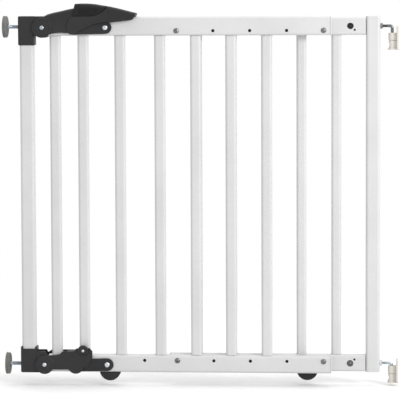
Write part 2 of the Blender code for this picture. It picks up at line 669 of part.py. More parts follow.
def build_fittings():
    spindle_hole = SPINDLE_RADIUS + FIT
    left_face = POST_X - FITTING_SIZE[0] / 2
    levels = (("top_fitting", TOP_FITTING_Z, UPPER_PIVOT_Z, TOP_FITTING_Z[1] - 0.0002,
               UPPER_PIVOT_Z - EAR_RADIUS, (TOP_FITTING_Z[0] - 0.01, POST_Z[1] + FIT), SPINDLE_Z[1]),
              ("bottom_fitting", BOTTOM_FITTING_Z, LOWER_PIVOT_Z, 0.040,
               BOTTOM_FITTING_Z[0] + 0.0002, (POST_Z[0] - FIT, BOTTOM_FITTING_Z[1] + 0.01),
               SPINDLE_Z[0]))
    for name, z_span, pivot, ear_top, ear_bottom, pocket_span, spindle in levels:
        shell = fitting_shell(name, z_span)
        ears = mirrored_pair([ear_outline(pivot, ear_top, ear_bottom)], INNER_LAYER,
                             BLACK_PLASTIC, "ear")
        body = fuse(name, [shell, *ears])
        boolean(body, [post_pocket(name + "_pocket", pocket_span),
                       across(name + "_pivot_bore", POST_PIVOT_X, MAIN_Y, pivot, PIVOT_BORE, 0.022),
                       along(name + "_spindle_hole", left_face, spindle, spindle_hole, 0.02, MAIN_Y)])


def build_post():
    post = tube("latch_post", POST_SIZE, POST_CORNER, POST_Z, "Z", (POST_X, MAIN_Y, 0.0))
    left = POST_X - POST_SIZE[0] / 2
    boolean(post, [along(f"post_hole_{level}", left, z, SPINDLE_RADIUS + FIT, 0.006, MAIN_Y)
                   for level, z in enumerate(SPINDLE_Z)])


def build_pads():
    """Pressure spindles and the rubber pads on their ends."""
    for name, z in zip(("lower", "upper"), SPINDLE_Z):
        start = PAD_X[1] - 0.007
        rod(f"pressure_spindle_{name}", (start, MAIN_Y, z), SPINDLE_END_X - start, SPINDLE_RADIUS,
            "X", ZINC, 14)
        depth = PAD_X[1] - PAD_X[0]
        edge = 0.0012
        bore = SPINDLE_RADIUS + FIT
        profile = [(0.0, 0.0), (0.0, PAD_RADIUS - edge), (edge, PAD_RADIUS),
                   (depth - edge, PAD_RADIUS), (depth, PAD_RADIUS - edge), (depth, bore),
                   (depth - 0.0075, bore), (depth - 0.0075, 0.0)]
        turned(f"pressure_pad_{name}", profile[::-1], "X", GREY_RUBBER, (PAD_X[0], MAIN_Y, z), 32)


LEVER_LOW = [(0.0175, -0.0096), (0.0460, -0.0096)]
KNEE_ROUND = 0.0164
LEVER_FRONT_TOP = [(0.0860, -0.0060), (0.0968, 0.0140), (0.0968, 0.0275), (0.0912, 0.0340),
                   (0.0640, 0.0330), (0.0600, 0.0275), (0.0360, 0.0270), (0.0300, 0.0200)]
LEVER_BACK_TOP = [(0.0860, -0.0060), (0.0920, 0.0140), (0.0900, 0.0185), (0.0640, 0.0190),
                  (0.0600, 0.0258), (0.0400, 0.0258), (0.0360, 0.0190)]
BRIDGE = ((0.0440, 0.0620), (0.0202, 0.0250))


def build_lower_lever():
    """Lower lever between the bottom fitting and the lower knee, with the catch's pocket."""
    x, z = POST_PIVOT_X, LOWER_PIVOT_Z
    knee = (KNEE_X - x, -KNEE_DROP)
    low, high = LEVER_LAYER
    start = arc((0, 0), HUB_RADIUS - HUB_LIP, 90, 295, 18) + LEVER_LOW + arc(knee, KNEE_ROUND, 212, 345, 12)
    front = prism("lever", [shifted(start + LEVER_FRONT_TOP, x, z)], (MAIN_Y - high, MAIN_Y - low),
                  "Y", BLACK_PLASTIC)
    back = prism("lever_back", [shifted(start + LEVER_BACK_TOP, x, z)], (MAIN_Y + low, MAIN_Y + high),
                 "Y", BLACK_PLASTIC)
    discs = mirrored_pair([circle((x, z), HUB_RADIUS, 32)], HUB_LAYER, BLACK_PLASTIC, "disc")
    bridge = prism("bridge", [shifted(box(*BRIDGE), x, z)],
                   (MAIN_Y - high + 0.0005, MAIN_Y + high - 0.0005), "Y", BLACK_PLASTIC)
    lever = fuse("lower_lever", [front, back, *discs, bridge, *knee_studs(LOWER_PIVOT_Z)])
    catch_x, catch_z = x + CATCH_U, z + CATCH_W
    pocket = rod("catch_pocket", (catch_x, MAIN_Y - 0.020, catch_z), 0.020 - CATCH_LAYER[0] + FIT,
                 CATCH_RADIUS + 0.0006, "Y", None, 28)
    boolean(lever, [across("lever_bore", x, MAIN_Y, z, PIVOT_BORE, 0.022), pocket,
                    across("catch_bore", catch_x, MAIN_Y - 0.016, catch_z, 0.0018, 0.004)])


def build_catch():
    """Half-round catch in the lever's pocket, and the screw that it turns on."""
    x, z = POST_PIVOT_X + CATCH_U, LOWER_PIVOT_Z + CATCH_W
    low, high = CATCH_LAYER
    flat = math.degrees(math.asin(CATCH_FLAT / CATCH_RADIUS))
    prism("lock_catch", [arc((x, z), CATCH_RADIUS, -flat, 180 + flat, 24),
                         circle((x, z), 0.0018, 12)], (MAIN_Y - high, MAIN_Y - low), "Y",
          BLACK_PLASTIC)
    head = high + FIT
    turned("catch_screw", [(head + 0.0012, 0.0), (head + 0.0009, 0.0020), (head, 0.0028),
                           (head, 0.0015), (0.0142, 0.0015), (0.0142, 0.0)],
           "-Y", ZINC, (x, MAIN_Y, z), 14)


# ---------------------------------------------------------------- moving bodies

def body(name, place, pieces, parent=None):
    """An empty on a joint's axis that carries the pieces which move about it."""
    empty = bpy.data.objects.new(name, None)
    empty.empty_display_size = 0.02
    empty.location = place
    parts.objects.link(empty)
    if parent:
        attach(empty, parent)
    for piece in pieces:
        attach(bpy.data.objects[piece], empty)
    return empty


def attach(item, carrier):
    """Parent an object to another and leave it where it is."""
    bpy.context.view_layer.update()
    item.parent = carrier
    item.matrix_parent_inverse = carrier.matrix_world.inverted()


def assemble():
    fixed = {"wall_bracket_lower", "wall_bracket_upper"}
    post = ["latch_post", "top_fitting", "bottom_fitting"]
    post += [f"{level}_pivot_screw_{side}" for level in ("upper", "lower") for side in ("front", "back")]
    handle = ["handle_arm", "handle_grip", "slider_spring"]
    slider = ["thumb_slider"]
    upper = ["upper_link_front", "upper_link_back"]
    lower = ["lower_link_front", "lower_link_back"]
    lever = ["lower_lever", "catch_screw"]
    catch = ["lock_catch"]
    pads = {level: [f"pressure_spindle_{level}", f"pressure_pad_{level}"] for level in ("lower", "upper")}
    moved = {*post, *handle, *slider, *upper, *lower, *lever, *catch, *pads["lower"], *pads["upper"]}
    leaf = [item.name for item in parts.objects if item.name not in moved | fixed]

    leaf_axis = body("leaf_swing_axis", (SWING_X, 0.0, BRACKET_Z[0]), leaf)
    upper_axis = body("upper_link_axis", (LEAF_PIVOT_X, MAIN_Y, UPPER_PIVOT_Z), upper, leaf_axis)
    handle_axis = body("handle_axis", (KNEE_X, MAIN_Y, UPPER_PIVOT_Z - KNEE_DROP), handle, upper_axis)
    body("slider_way", (POST_PIVOT_X + TONGUE_U[0], MAIN_Y, UPPER_PIVOT_Z + SPRING_W), slider, handle_axis)
    post_axis = body("post_axis", (POST_PIVOT_X, MAIN_Y, UPPER_PIVOT_Z), post, handle_axis)
    for level, height in zip(("lower", "upper"), SPINDLE_Z):
        body(f"spindle_way_{level}", (PAD_X[1], MAIN_Y, height), pads[level], post_axis)
    lower_axis = body("lower_link_axis", (LEAF_PIVOT_X, MAIN_Y, LOWER_PIVOT_Z), lower, leaf_axis)
    lever_axis = body("lever_axis", (KNEE_X, MAIN_Y, LOWER_PIVOT_Z - KNEE_DROP), lever, lower_axis)
    body("catch_axis", (POST_PIVOT_X + CATCH_U, MAIN_Y, LOWER_PIVOT_Z + CATCH_W), catch, lever_axis)


build_wall_side()
build_main_panel()
build_extension_panel()
build_hinge_stile()
build_hooks()
build_panel_bolts()
glide("floor_glide_left", GLIDE_X[0], MAIN_Y, MAIN_BOTTOM_Z[0])
glide("floor_glide_right", GLIDE_X[1], EXTENSION_Y, EXTENSION_BOTTOM_Z[0])
build_links()
pivot_screws("upper", UPPER_PIVOT_Z)
pivot_screws("lower", LOWER_PIVOT_Z)
build_handle()
build_slider_spring()
build_fittings()
build_post()
build_pads()
build_lower_lever()
build_catch()
assemble()
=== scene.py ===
"""Looks of the extending stair gate: fine surfaces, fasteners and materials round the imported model.

All lengths are in metres in the model's own frame: +X to the hinge wall, +Z up, -Y the front. The
latch's outlines are given from its post pivots, u to the right and w up.
"""

import json
import math

import bmesh
import bpy
from mathutils import Matrix, Vector


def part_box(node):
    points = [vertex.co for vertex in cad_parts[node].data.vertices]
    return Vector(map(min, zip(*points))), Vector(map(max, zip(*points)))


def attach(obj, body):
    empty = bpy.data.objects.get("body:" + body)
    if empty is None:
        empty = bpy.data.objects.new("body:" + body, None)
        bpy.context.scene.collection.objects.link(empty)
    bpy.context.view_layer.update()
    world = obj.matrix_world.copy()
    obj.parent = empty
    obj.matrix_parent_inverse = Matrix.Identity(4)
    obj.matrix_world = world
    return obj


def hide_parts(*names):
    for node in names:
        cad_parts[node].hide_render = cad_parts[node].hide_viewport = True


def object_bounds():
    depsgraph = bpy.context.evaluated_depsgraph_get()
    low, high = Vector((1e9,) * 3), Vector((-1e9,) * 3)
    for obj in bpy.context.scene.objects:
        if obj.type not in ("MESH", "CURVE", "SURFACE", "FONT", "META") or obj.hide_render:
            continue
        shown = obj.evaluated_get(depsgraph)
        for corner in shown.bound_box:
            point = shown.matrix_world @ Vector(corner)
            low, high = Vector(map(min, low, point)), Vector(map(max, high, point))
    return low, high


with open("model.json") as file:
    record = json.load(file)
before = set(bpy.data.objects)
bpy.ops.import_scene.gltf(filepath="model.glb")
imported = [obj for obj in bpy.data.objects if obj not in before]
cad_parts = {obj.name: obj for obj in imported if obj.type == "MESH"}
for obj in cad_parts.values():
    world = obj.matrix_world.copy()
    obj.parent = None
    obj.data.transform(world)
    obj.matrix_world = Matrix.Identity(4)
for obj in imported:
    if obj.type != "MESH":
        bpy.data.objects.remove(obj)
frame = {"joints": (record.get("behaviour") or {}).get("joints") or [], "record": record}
cad_low, cad_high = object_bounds()

RECORD = frame["record"]
BODY_OF = {node: body for body, nodes in RECORD["behaviour"]["bodies"].items() for node in nodes}
SLOT_OF = {entry["node"]: entry["material_slot"] for entry in RECORD["subparts"]}
JOINTS = {joint["name"]: joint for joint in frame["joints"]}

FIT = 0.0003                                    # gap between pieces
POST_X, MAIN_Y, UPPER_Z = JOINTS["post_pivot"]["pos_m"]
LEAF_PIVOT_X = JOINTS["latch_lift"]["pos_m"][0]
LOWER_Z = JOINTS["lower_link_fold"]["pos_m"][2]
KNEE_X, _, KNEE_Z = JOINTS["handle_knee"]["pos_m"]
KNEE_DROP = UPPER_Z - KNEE_Z
CATCH_X, _, CATCH_Z = JOINTS["catch_turn"]["pos_m"]
SWING_X = JOINTS["leaf_swing"]["pos_m"][0]

TUBE_WALL = 0.0015
STEM_INSET = 2 * (TUBE_WALL + FIT)              # how much smaller a plug's stem is than its tube
RAIL_CORNER = 0.005
BAR_CORNER = 0.0056
POST_CORNER = 0.006
FITTING_CORNER = 0.004
FITTING_DEPTH = 0.0268
FITTING_EDGE = 0.0028
BOLT_HOLE = 0.0033
BOLT_PITCH = 0.073
BOLT_SHANK = 0.003
STUD_RADIUS = 0.004
STUD_REACH = (0.0107, 0.0152)
CHEEK_INSET = 0.0006
SPINDLE_HOLE = 0.0043
SPINDLE_PITCH = 0.00125
PIVOT_BORE = 0.0028
PIVOT_REACH = 0.022
CATCH_BORE = 0.0018
HOOK_RADIUS = 0.003
NUT_RADIUS = 0.0058
NUT_BORE = 0.0031

# Layers of the latch, as distances from the main panel's middle plane
INNER_LAYER = (0.0104, 0.0136)
ARM_HALF = (0.0140, 0.0166)
LEVER_LAYER = (0.0140, 0.0176)
HUB_LAYER = (0.0146, 0.0183)
GRIP_HALF = (0.0169, 0.0194)
CATCH_LAYER = (0.0157, 0.0195)
HUB_RADIUS = 0.0201
EAR_RADIUS = 0.017
LINK_HALF_WIDTH = 0.0128
CATCH_RADIUS = 0.011
CATCH_FLAT = 0.006


# ---------------------------------------------------------------- materials

NOISE_ROUGHNESS = 0.55
NOISE_RANGE = (0.3, 0.7)
FINE_DETAIL, BROAD_DETAIL = 3.0, 5.0
GRAIN_SHARE, CLOUD_SHARE = 0.45, 0.55
COAT_ROUGHNESS = 0.25
RAMP_ENDS = (0.15, 0.85)


def noise(nodes, links, coordinates, scale, detail):
    texture = nodes.new("ShaderNodeTexNoise")
    texture.inputs["Scale"].default_value = scale
    texture.inputs["Detail"].default_value = detail
    texture.inputs["Roughness"].default_value = NOISE_ROUGHNESS
    links.new(coordinates, texture.inputs["Vector"])
    return texture.outputs["Fac"]


def ranged(nodes, links, value, low, high):
    """Spread the middle of a noise over a range."""
    step = nodes.new("ShaderNodeMapRange")
    step.inputs["From Min"].default_value, step.inputs["From Max"].default_value = NOISE_RANGE
    step.inputs["To Min"].default_value = low
    step.inputs["To Max"].default_value = high
    links.new(value, step.inputs["Value"])
    return step.outputs["Result"]


def surface(name, dark, light, roughness, grain, relief, metallic=0.0, cloud=9.0, specular=0.5,
            coat=0.0):
    """Procedural finish: cloudy and grainy colour, uneven gloss and a fine relief.

    grain is the size of the relief's features and relief its height. roughness is the least and
    the greatest roughness. cloud is how many broad patches of colour there are in a metre.
    """
    made = bpy.data.materials.new(name)
    made.use_nodes = True
    nodes, links = made.node_tree.nodes, made.node_tree.links
    shader = nodes["Principled BSDF"]
    shader.inputs["Metallic"].default_value = metallic
    shader.inputs["Specular IOR Level"].default_value = specular
    shader.inputs["Coat Weight"].default_value = coat
    shader.inputs["Coat Roughness"].default_value = COAT_ROUGHNESS
    spot = nodes.new("ShaderNodeTexCoord").outputs["Object"]
    fine = noise(nodes, links, spot, 1.0 / grain, FINE_DETAIL)
    broad = noise(nodes, links, spot, cloud, BROAD_DETAIL)
    blend = nodes.new("ShaderNodeMath")
    blend.operation = "MULTIPLY_ADD"
    blend.inputs[1].default_value = GRAIN_SHARE
    links.new(fine, blend.inputs[0])
    links.new(ranged(nodes, links, broad, 0.0, CLOUD_SHARE), blend.inputs[2])
    ramp = nodes.new("ShaderNodeValToRGB")
    for stop, position, colour in zip(ramp.color_ramp.elements, RAMP_ENDS, (dark, light)):
        stop.position = position
        stop.color = (*colour, 1.0)
    links.new(blend.outputs[0], ramp.inputs["Fac"])
    links.new(ramp.outputs["Color"], shader.inputs["Base Color"])
    links.new(ranged(nodes, links, fine, *roughness), shader.inputs["Roughness"])
    bump = nodes.new("ShaderNodeBump")
    bump.inputs["Strength"].default_value = 1.0
    bump.inputs["Distance"].default_value = relief
    links.new(fine, bump.inputs["Height"])
    links.new(bump.outputs["Normal"], shader.inputs["Normal"])
    return made


WHITE_PAINT = surface("white_powder_coat", (0.475, 0.474, 0.474), (0.530, 0.529, 0.529),
                      (0.34, 0.46), 0.0011, 0.00005, coat=0.15)
WHITE_PLASTIC = surface("white_moulded_plastic", (0.49, 0.49, 0.485), (0.54, 0.54, 0.53),
                        (0.42, 0.56), 0.0007, 0.00004)
BLACK_PLASTIC = surface("black_moulded_plastic", (0.008, 0.008, 0.009), (0.022, 0.022, 0.023),
                        (0.36, 0.52), 0.0006, 0.00008, specular=0.32)
SLIDER_PLASTIC = surface("black_slider_plastic", (0.004, 0.004, 0.004), (0.011, 0.011, 0.012),
                         (0.30, 0.46), 0.0005, 0.00006, specular=0.24)
IVORY_PLASTIC = surface("ivory_moulded_plastic", (0.50, 0.475, 0.435), (0.57, 0.54, 0.50),
                        (0.42, 0.58), 0.0008, 0.00006, cloud=60.0)
ZINC = surface("bright_zinc", (0.46, 0.48, 0.50), (0.72, 0.74, 0.76), (0.22, 0.40),
               0.0009, 0.00003, metallic=1.0, cloud=140.0)
BLUE_ZINC = surface("blue_passivated_zinc", (0.34, 0.38, 0.42), (0.56, 0.60, 0.64), (0.25, 0.42),
                    0.0009, 0.00003, metallic=1.0, cloud=140.0)
DARK_ZINC = surface("dark_zinc", (0.10, 0.105, 0.11), (0.25, 0.255, 0.26), (0.28, 0.45),
                    0.0009, 0.00003, metallic=1.0, cloud=140.0)
GREY_RUBBER = surface("grey_rubber", (0.095, 0.096, 0.090), (0.150, 0.152, 0.143),
                      (0.68, 0.88), 0.0008, 0.00012, cloud=45.0, specular=0.3)
FINISH_OF_SLOT = {"white_paint": WHITE_PAINT, "white_plastic": WHITE_PLASTIC,
                  "black_plastic": BLACK_PLASTIC, "ivory_plastic": IVORY_PLASTIC,
                  "zinc_steel": ZINC, "grey_rubber": GREY_RUBBER}


# ---------------------------------------------------------------- outlines

def arc(centre, radius, start, end, steps):
    """Points along an arc, angles in degrees, both ends included."""
    points = []
    for step in range(steps + 1):
        angle = math.radians(start + (end - start) * step / steps)
        points.append((centre[0] + radius * math.cos(angle), centre[1] + radius * math.sin(angle)))
    return points


def circle(centre, radius, steps=40):
    return arc(centre, radius, 0.0, 360.0 * (steps - 1) / steps, steps - 1)


def rounded_rectangle(width, height, radius, steps=7, middle=(0.0, 0.0)):
    points = []
    for turn, (side, lift) in enumerate(((1, 1), (-1, 1), (-1, -1), (1, -1))):
        corner = (middle[0] + side * (width / 2 - radius), middle[1] + lift * (height / 2 - radius))
        points += arc(corner, radius, 90 * turn, 90 * turn + 90, steps)
    return points


def box(wide, high):
    return [(wide[1], high[1]), (wide[0], high[1]), (wide[0], high[0]), (wide[1], high[0])]


def stadium(start, end, radius, steps=22):
    heading = math.degrees(math.atan2(end[1] - start[1], end[0] - start[0]))
    return (arc(end, radius, heading - 90, heading + 90, steps)
            + arc(start, radius, heading + 90, heading + 270, steps))


def smooth(points, steps=5):
    """Catmull-Rom curve through the points, ends included."""
    run = [Vector(point) for point in points]
    run = [2 * run[0] - run[1]] + run + [2 * run[-1] - run[-2]]
    curve = []
    for at in range(1, len(run) - 2):
        a, b, c, d = run[at - 1:at + 3]
        for step in range(steps):
            t = step / steps
            curve.append(0.5 * ((2 * b) + (c - a) * t + (2 * a - 5 * b + 4 * c - d) * t * t
                                + (3 * b - a - 3 * c + d) * t ** 3))
    curve.append(run[-2])
    return [tuple(point) for point in curve]


def shifted(points, x, z):
    return [(x + point[0], z + point[1]) for point in points]


# ---------------------------------------------------------------- building blocks

def link_object(name, data):
    item = bpy.data.objects.new(name, data)
    bpy.context.scene.collection.objects.link(item)
    return item


MERGE_DISTANCE = 0.000002
TURN_MERGE_DISTANCE = 0.00001


def as_mesh(source):
    """Replace a curve or an object with modifiers by a plain mesh in the model's frame."""
    bpy.context.view_layer.update()
    evaluated = source.evaluated_get(bpy.context.evaluated_depsgraph_get())
    mesh = bpy.data.meshes.new_from_object(evaluated)
    mesh.transform(source.matrix_world)
    work = bmesh.new()
    work.from_mesh(mesh)
    bmesh.ops.remove_doubles(work, verts=work.verts, dist=MERGE_DISTANCE)
    bmesh.ops.recalc_face_normals(work, faces=work.faces)
    work.to_mesh(mesh)
    work.free()
    name = source.name
    bpy.data.objects.remove(source, do_unlink=True)
    mesh.materials.clear()
    return link_object(name, mesh)


def prism(name, outlines, span, axis="Y", bevel=0.0, origin=(0.0, 0.0, 0.0), bevel_steps=2):
    """Extrude flat outlines (outside first, then holes) along an axis, with rounded edges.

    An outline's two values are X and Z on axis Y, X and Y on axis Z, and Y and Z on axis X.
    """
    curve = bpy.data.curves.new(name, "CURVE")
    curve.dimensions = "2D"
    curve.fill_mode = "BOTH"
    curve.extrude = (span[1] - span[0]) / 2 - bevel
    curve.bevel_depth = bevel
    curve.bevel_resolution = bevel_steps
    curve.offset = -bevel
    for outline in outlines:
        spline = curve.splines.new("POLY")
        spline.points.add(len(outline) - 1)
        for point, (across, up) in zip(spline.points, outline):
            point.co = (across, up, 0.0, 1.0)
        spline.use_cyclic_u = True
    item = link_object(name, curve)
    middle = (span[0] + span[1]) / 2
    turn = {"X": Matrix(((0, 0, 1), (1, 0, 0), (0, 1, 0))),
            "Y": Matrix(((1, 0, 0), (0, 0, -1), (0, 1, 0))),
            "Z": Matrix.Identity(3)}[axis]
    shift = {"X": (middle, 0, 0), "Y": (0, middle, 0), "Z": (0, 0, middle)}[axis]
    item.matrix_world = Matrix.Translation(Vector(origin) + Vector(shift)) @ turn.to_4x4()
    return as_mesh(item)


def turned(name, profile, axis, origin, steps=32):
    """Turn a profile of (distance along the axis, radius), far end first, about the axis."""
    mesh = bpy.data.meshes.new(name)
    points = [(radius, 0.0, along) for along, radius in profile]
    mesh.from_pydata(points, [(step, step + 1) for step in range(len(points) - 1)], [])
    item = link_object(name, mesh)
    screw = item.modifiers.new("turn", "SCREW")
    screw.axis = "Z"
    screw.steps = steps
    screw.render_steps = steps
    screw.use_merge_vertices = True
    screw.merge_threshold = TURN_MERGE_DISTANCE
    heading = {"X": (1, 0, 0), "-X": (-1, 0, 0), "Y": (0, 1, 0), "-Y": (0, -1, 0),
               "Z": (0, 0, 1), "-Z": (0, 0, -1)}[axis]
    turn = Vector(heading).to_track_quat("Z", "Y").to_matrix().to_4x4()
    item.matrix_world = Matrix.Translation(origin) @ turn
    return as_mesh(item)


def rod(name, start, length, radius, axis, steps=24):
    return turned(name, [(length, 0.0), (length, radius), (0.0, radius), (0.0, 0.0)],
                  axis, start, steps)


def carve(item, tools, operation="DIFFERENCE"):
    """Cut the tools out of a piece, or join them to it or keep what they share."""
    for tool in tools:
        step = item.modifiers.new(operation.lower(), "BOOLEAN")
        step.operation = operation
        step.solver = "EXACT"
        step.object = tool
    made = as_mesh(item)
    for tool in tools:
        bpy.data.objects.remove(tool, do_unlink=True)
    return made


def loft(name, rings):
    """Closed skin over rings of equally many points."""
    mesh = bpy.data.meshes.new(name)
    count = len(rings[0])
    points = [point for ring in rings for point in ring]
    faces = []
    for row in range(len(rings) - 1):
        for column in range(count):
            after = (column + 1) % count
            faces.append((row * count + column, row * count + after,
                          (row + 1) * count + after, (row + 1) * count + column))
    faces.append(tuple(range(count)))
    faces.append(tuple(reversed(range((len(rings) - 1) * count, len(rings) * count))))
    mesh.from_pydata(points, [], faces)
    return as_mesh(link_object(name, mesh))


def crown(name, ridge, half, drop, inset, bottom):
    """Body with a rounded back: the ridge line gives its top from one end to the other.

    inset and drop are the width and height of the rounding along both upper edges.
    """
    flat = half - inset
    rings = []
    for x, top in ridge:
        ring = [(x, MAIN_Y - half, bottom)]
        for y, z in arc((-flat, 0.0), 1.0, 180, 90, 7):
            ring.append((x, MAIN_Y - flat + (y + flat) * inset, top - drop + z * drop))
        for y, z in arc((flat, 0.0), 1.0, 90, 0, 7):
            ring.append((x, MAIN_Y + flat + (y - flat) * inset, top - drop + z * drop))
        ring.append((x, MAIN_Y + half, bottom))
        rings.append(ring)
    return loft(name, rings)


def path_frames(path):
    """For each point of a path in a plane of constant Y: the point and two directions across."""
    frames = []
    for at, point in enumerate(path):
        before = Vector(path[max(at - 1, 0)])
        after = Vector(path[min(at + 1, len(path) - 1)])
        ahead = (after - before).normalized()
        side = Vector((0, 1, 0))
        frames.append((Vector(point), side, ahead.cross(side)))
    return frames


THREAD_DEPTH = 0.55


def threaded_rod(name, path, radius, pitch, thread_span, sides):
    """Rod along a path with a helical thread between two distances from its start."""
    rings = []
    travelled = 0.0
    start, end = thread_span
    frames = path_frames(path)
    for at, (point, side, up) in enumerate(frames):
        if at:
            travelled += (point - frames[at - 1][0]).length
        fade = max(0.0, min(1.0, (travelled - start) / pitch, (end - travelled) / pitch))
        ring = []
        for step in range(sides):
            turn = step / sides
            wave = abs(((travelled / pitch - turn) % 1.0) * 2 - 1)
            here = radius - fade * THREAD_DEPTH * pitch * wave
            angle = 2 * math.pi * turn
            ring.append(tuple(point + side * here * math.cos(angle) + up * here * math.sin(angle)))
        rings.append(ring)
    return loft(name, rings)


def straight(start, end, spacing):
    """Points along a straight run, the first included and the last left out."""
    start, end = Vector(start), Vector(end)
    count = max(1, round((end - start).length / spacing))
    return [tuple(start.lerp(end, step / count)) for step in range(count)]


# ---------------------------------------------------------------- finishing pieces

SHARP_ANGLE = 38.0


def shade(item, finish):
    """Give a piece its finish, smooth over its curves and sharp along its edges."""
    item.data.materials.clear()
    item.data.materials.append(finish)
    item.data.shade_smooth()
    item.data.set_sharp_from_angle(angle=math.radians(SHARP_ANGLE))
    weighted = item.modifiers.new("flat_faces_stay_flat", "WEIGHTED_NORMAL")
    weighted.keep_sharp = True
    weighted.weight = 90


def dress(item, node, finish=None):
    """A piece that stands for a CAD node: it rides on the node's body, in its slot's finish unless another
    is given, and the node is hidden.
    """
    shade(item, finish or FINISH_OF_SLOT[SLOT_OF[node]])
    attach(item, BODY_OF[node])
    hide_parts(node)


def add(item, body, slot):
    """A piece that the CAD model has no node for."""
    shade(item, FINISH_OF_SLOT[slot])
    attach(item, body)


def middle_of(node):
    low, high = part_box(node)
    return (low + high) / 2


# ---------------------------------------------------------------- tubes

def tube(node, axis, corner, cutters=()):
    """Hollow tube with round corners in the place of a CAD node."""
    low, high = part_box(node)
    centre, size = (low + high) / 2, high - low
    along = "XYZ".index(axis)
    first, second = [at for at in range(3) if at != along]
    outside = rounded_rectangle(size[first], size[second], corner)
    inside = rounded_rectangle(size[first] - 2 * TUBE_WALL, size[second] - 2 * TUBE_WALL,
                               corner - TUBE_WALL)
    origin = Vector(centre)
    origin[along] = 0.0
    item = prism(node + "_fine", [outside, inside], (low[along], high[along]), axis, 0.0, origin)
    if cutters:
        item = carve(item, cutters)
    dress(item, node)


def hole_through(name, x, y, z, radius, reach=0.014):
    """Cutter for a hole along Y that reaches as far to both sides of y."""
    return rod(name, (x, y - reach, z), 2 * reach, radius, "Y", 24)


ADJUSTING_HOLES = 5
END_HOLE_SPACING = 0.066
DOWEL_HOLE = 0.0067
PILOT_HOLE = 0.0022
PILOT_OFFSET = (0.0087, 0.0078)
FRONT_WALL_REACH = 0.004


def build_rails():
    lower_bolts = middle_of("panel_bolt_lower_left"), middle_of("panel_bolt_lower_right")
    upper_bolts = middle_of("panel_bolt_upper_left"), middle_of("panel_bolt_upper_right")
    for level, rail, bolts, pivot in (("top", "main_top_rail", upper_bolts, UPPER_Z),
                                      ("bottom", "main_bottom_rail", lower_bolts, LOWER_Z)):
        places = [(bolts[0].x + step * BOLT_PITCH, bolts[0].z) for step in range(ADJUSTING_HOLES)]
        places.append((LEAF_PIVOT_X, pivot))
        tools = [hole_through(f"hole_{at}", x, MAIN_Y, z, BOLT_HOLE)
                 for at, (x, z) in enumerate(places)]
        if level == "bottom":
            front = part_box(rail)[0].y
            tools.append(hole_through("end_hole", bolts[0].x - END_HOLE_SPACING, front, bolts[0].z,
                                      BOLT_HOLE, FRONT_WALL_REACH))
        tube(rail, "X", RAIL_CORNER, tools)
        low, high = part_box(rail)
        end_plug(f"main_{level}_rail_left_plug", low.x, low, high, -1, None)
        end_plug(f"main_{level}_rail_cap_fine", high.x, low, high, 1, f"main_{level}_rail_cap")
    for level, rail, bolts in (("top", "extension_top_rail", upper_bolts),
                               ("bottom", "extension_bottom_rail", lower_bolts)):
        dowel = middle_of("hook_dowel_" + {"top": "upper", "bottom": "lower"}[level])
        low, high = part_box(rail)
        side = 1 if level == "bottom" else -1
        tools = [hole_through(f"hole_{at}", bolt.x, 0.0, bolt.z, BOLT_HOLE)
                 for at, bolt in enumerate(bolts)]
        tools.append(hole_through("dowel_hole", dowel.x, 0.0, dowel.z, DOWEL_HOLE))
        tools.append(hole_through("pilot_hole", dowel.x + PILOT_OFFSET[0], low.y,
                                  dowel.z + side * PILOT_OFFSET[1], PILOT_HOLE, FRONT_WALL_REACH))
        tube(rail, "X", RAIL_CORNER, tools)
        end_plug(f"extension_{level}_rail_left_plug", low.x, low, high, -1, None)


def end_plug(name, x, low, high, facing, node):
    """Moulded plug in a rail's end; facing is 1 at the rail's right end and -1 at its left."""
    height, depth = high.z - low.z, high.y - low.y
    centre = (0.0, (low.y + high.y) / 2, (low.z + high.z) / 2)
    outer = sorted((x + facing * FIT, x + facing * 0.003))
    inner = sorted((x + facing * 0.001, x - facing * 0.008))
    head = prism(name, [rounded_rectangle(depth, height, RAIL_CORNER)], outer, "X", 0.0008, centre)
    stem = prism("stem", [rounded_rectangle(depth - STEM_INSET, height - STEM_INSET,
                                            RAIL_CORNER - STEM_INSET / 2)],
                 inner, "X", 0.0, centre)
    item = carve(head, [stem], "UNION")
    if node:
        dress(item, node)
    else:
        add(item, "gate_leaf", "white_plastic")


BEAD_WIDTH = 0.0008
BEAD_HEIGHT = 0.0013


def build_bars():
    """Upright bars, each with a small bead round both ends."""
    for node in sorted(node for node in BODY_OF if "_bar_" in node):
        tube(node, "Z", BAR_CORNER)
        low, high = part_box(node)
        centre = (low + high) / 2
        for level, z, side in (("foot", low.z - FIT, 1), ("head", high.z + FIT, -1)):
            size = (high.x - low.x + 2 * BEAD_WIDTH, high.y - low.y + 2 * BEAD_WIDTH)
            ring = [rounded_rectangle(*size, BAR_CORNER + BEAD_WIDTH),
                    rounded_rectangle(size[0] - 0.0018, size[1] - 0.0018, BAR_CORNER)]
            span = sorted((z + side * 0.00005, z + side * BEAD_HEIGHT))
            bead = prism(f"{node}_{level}_bead", ring, span, "Z", 0.0003, (centre.x, centre.y, 0.0))
            add(bead, "gate_leaf", "white_paint")


PLUG_HEIGHT = 0.006
PLUG_COLLAR = 0.0035


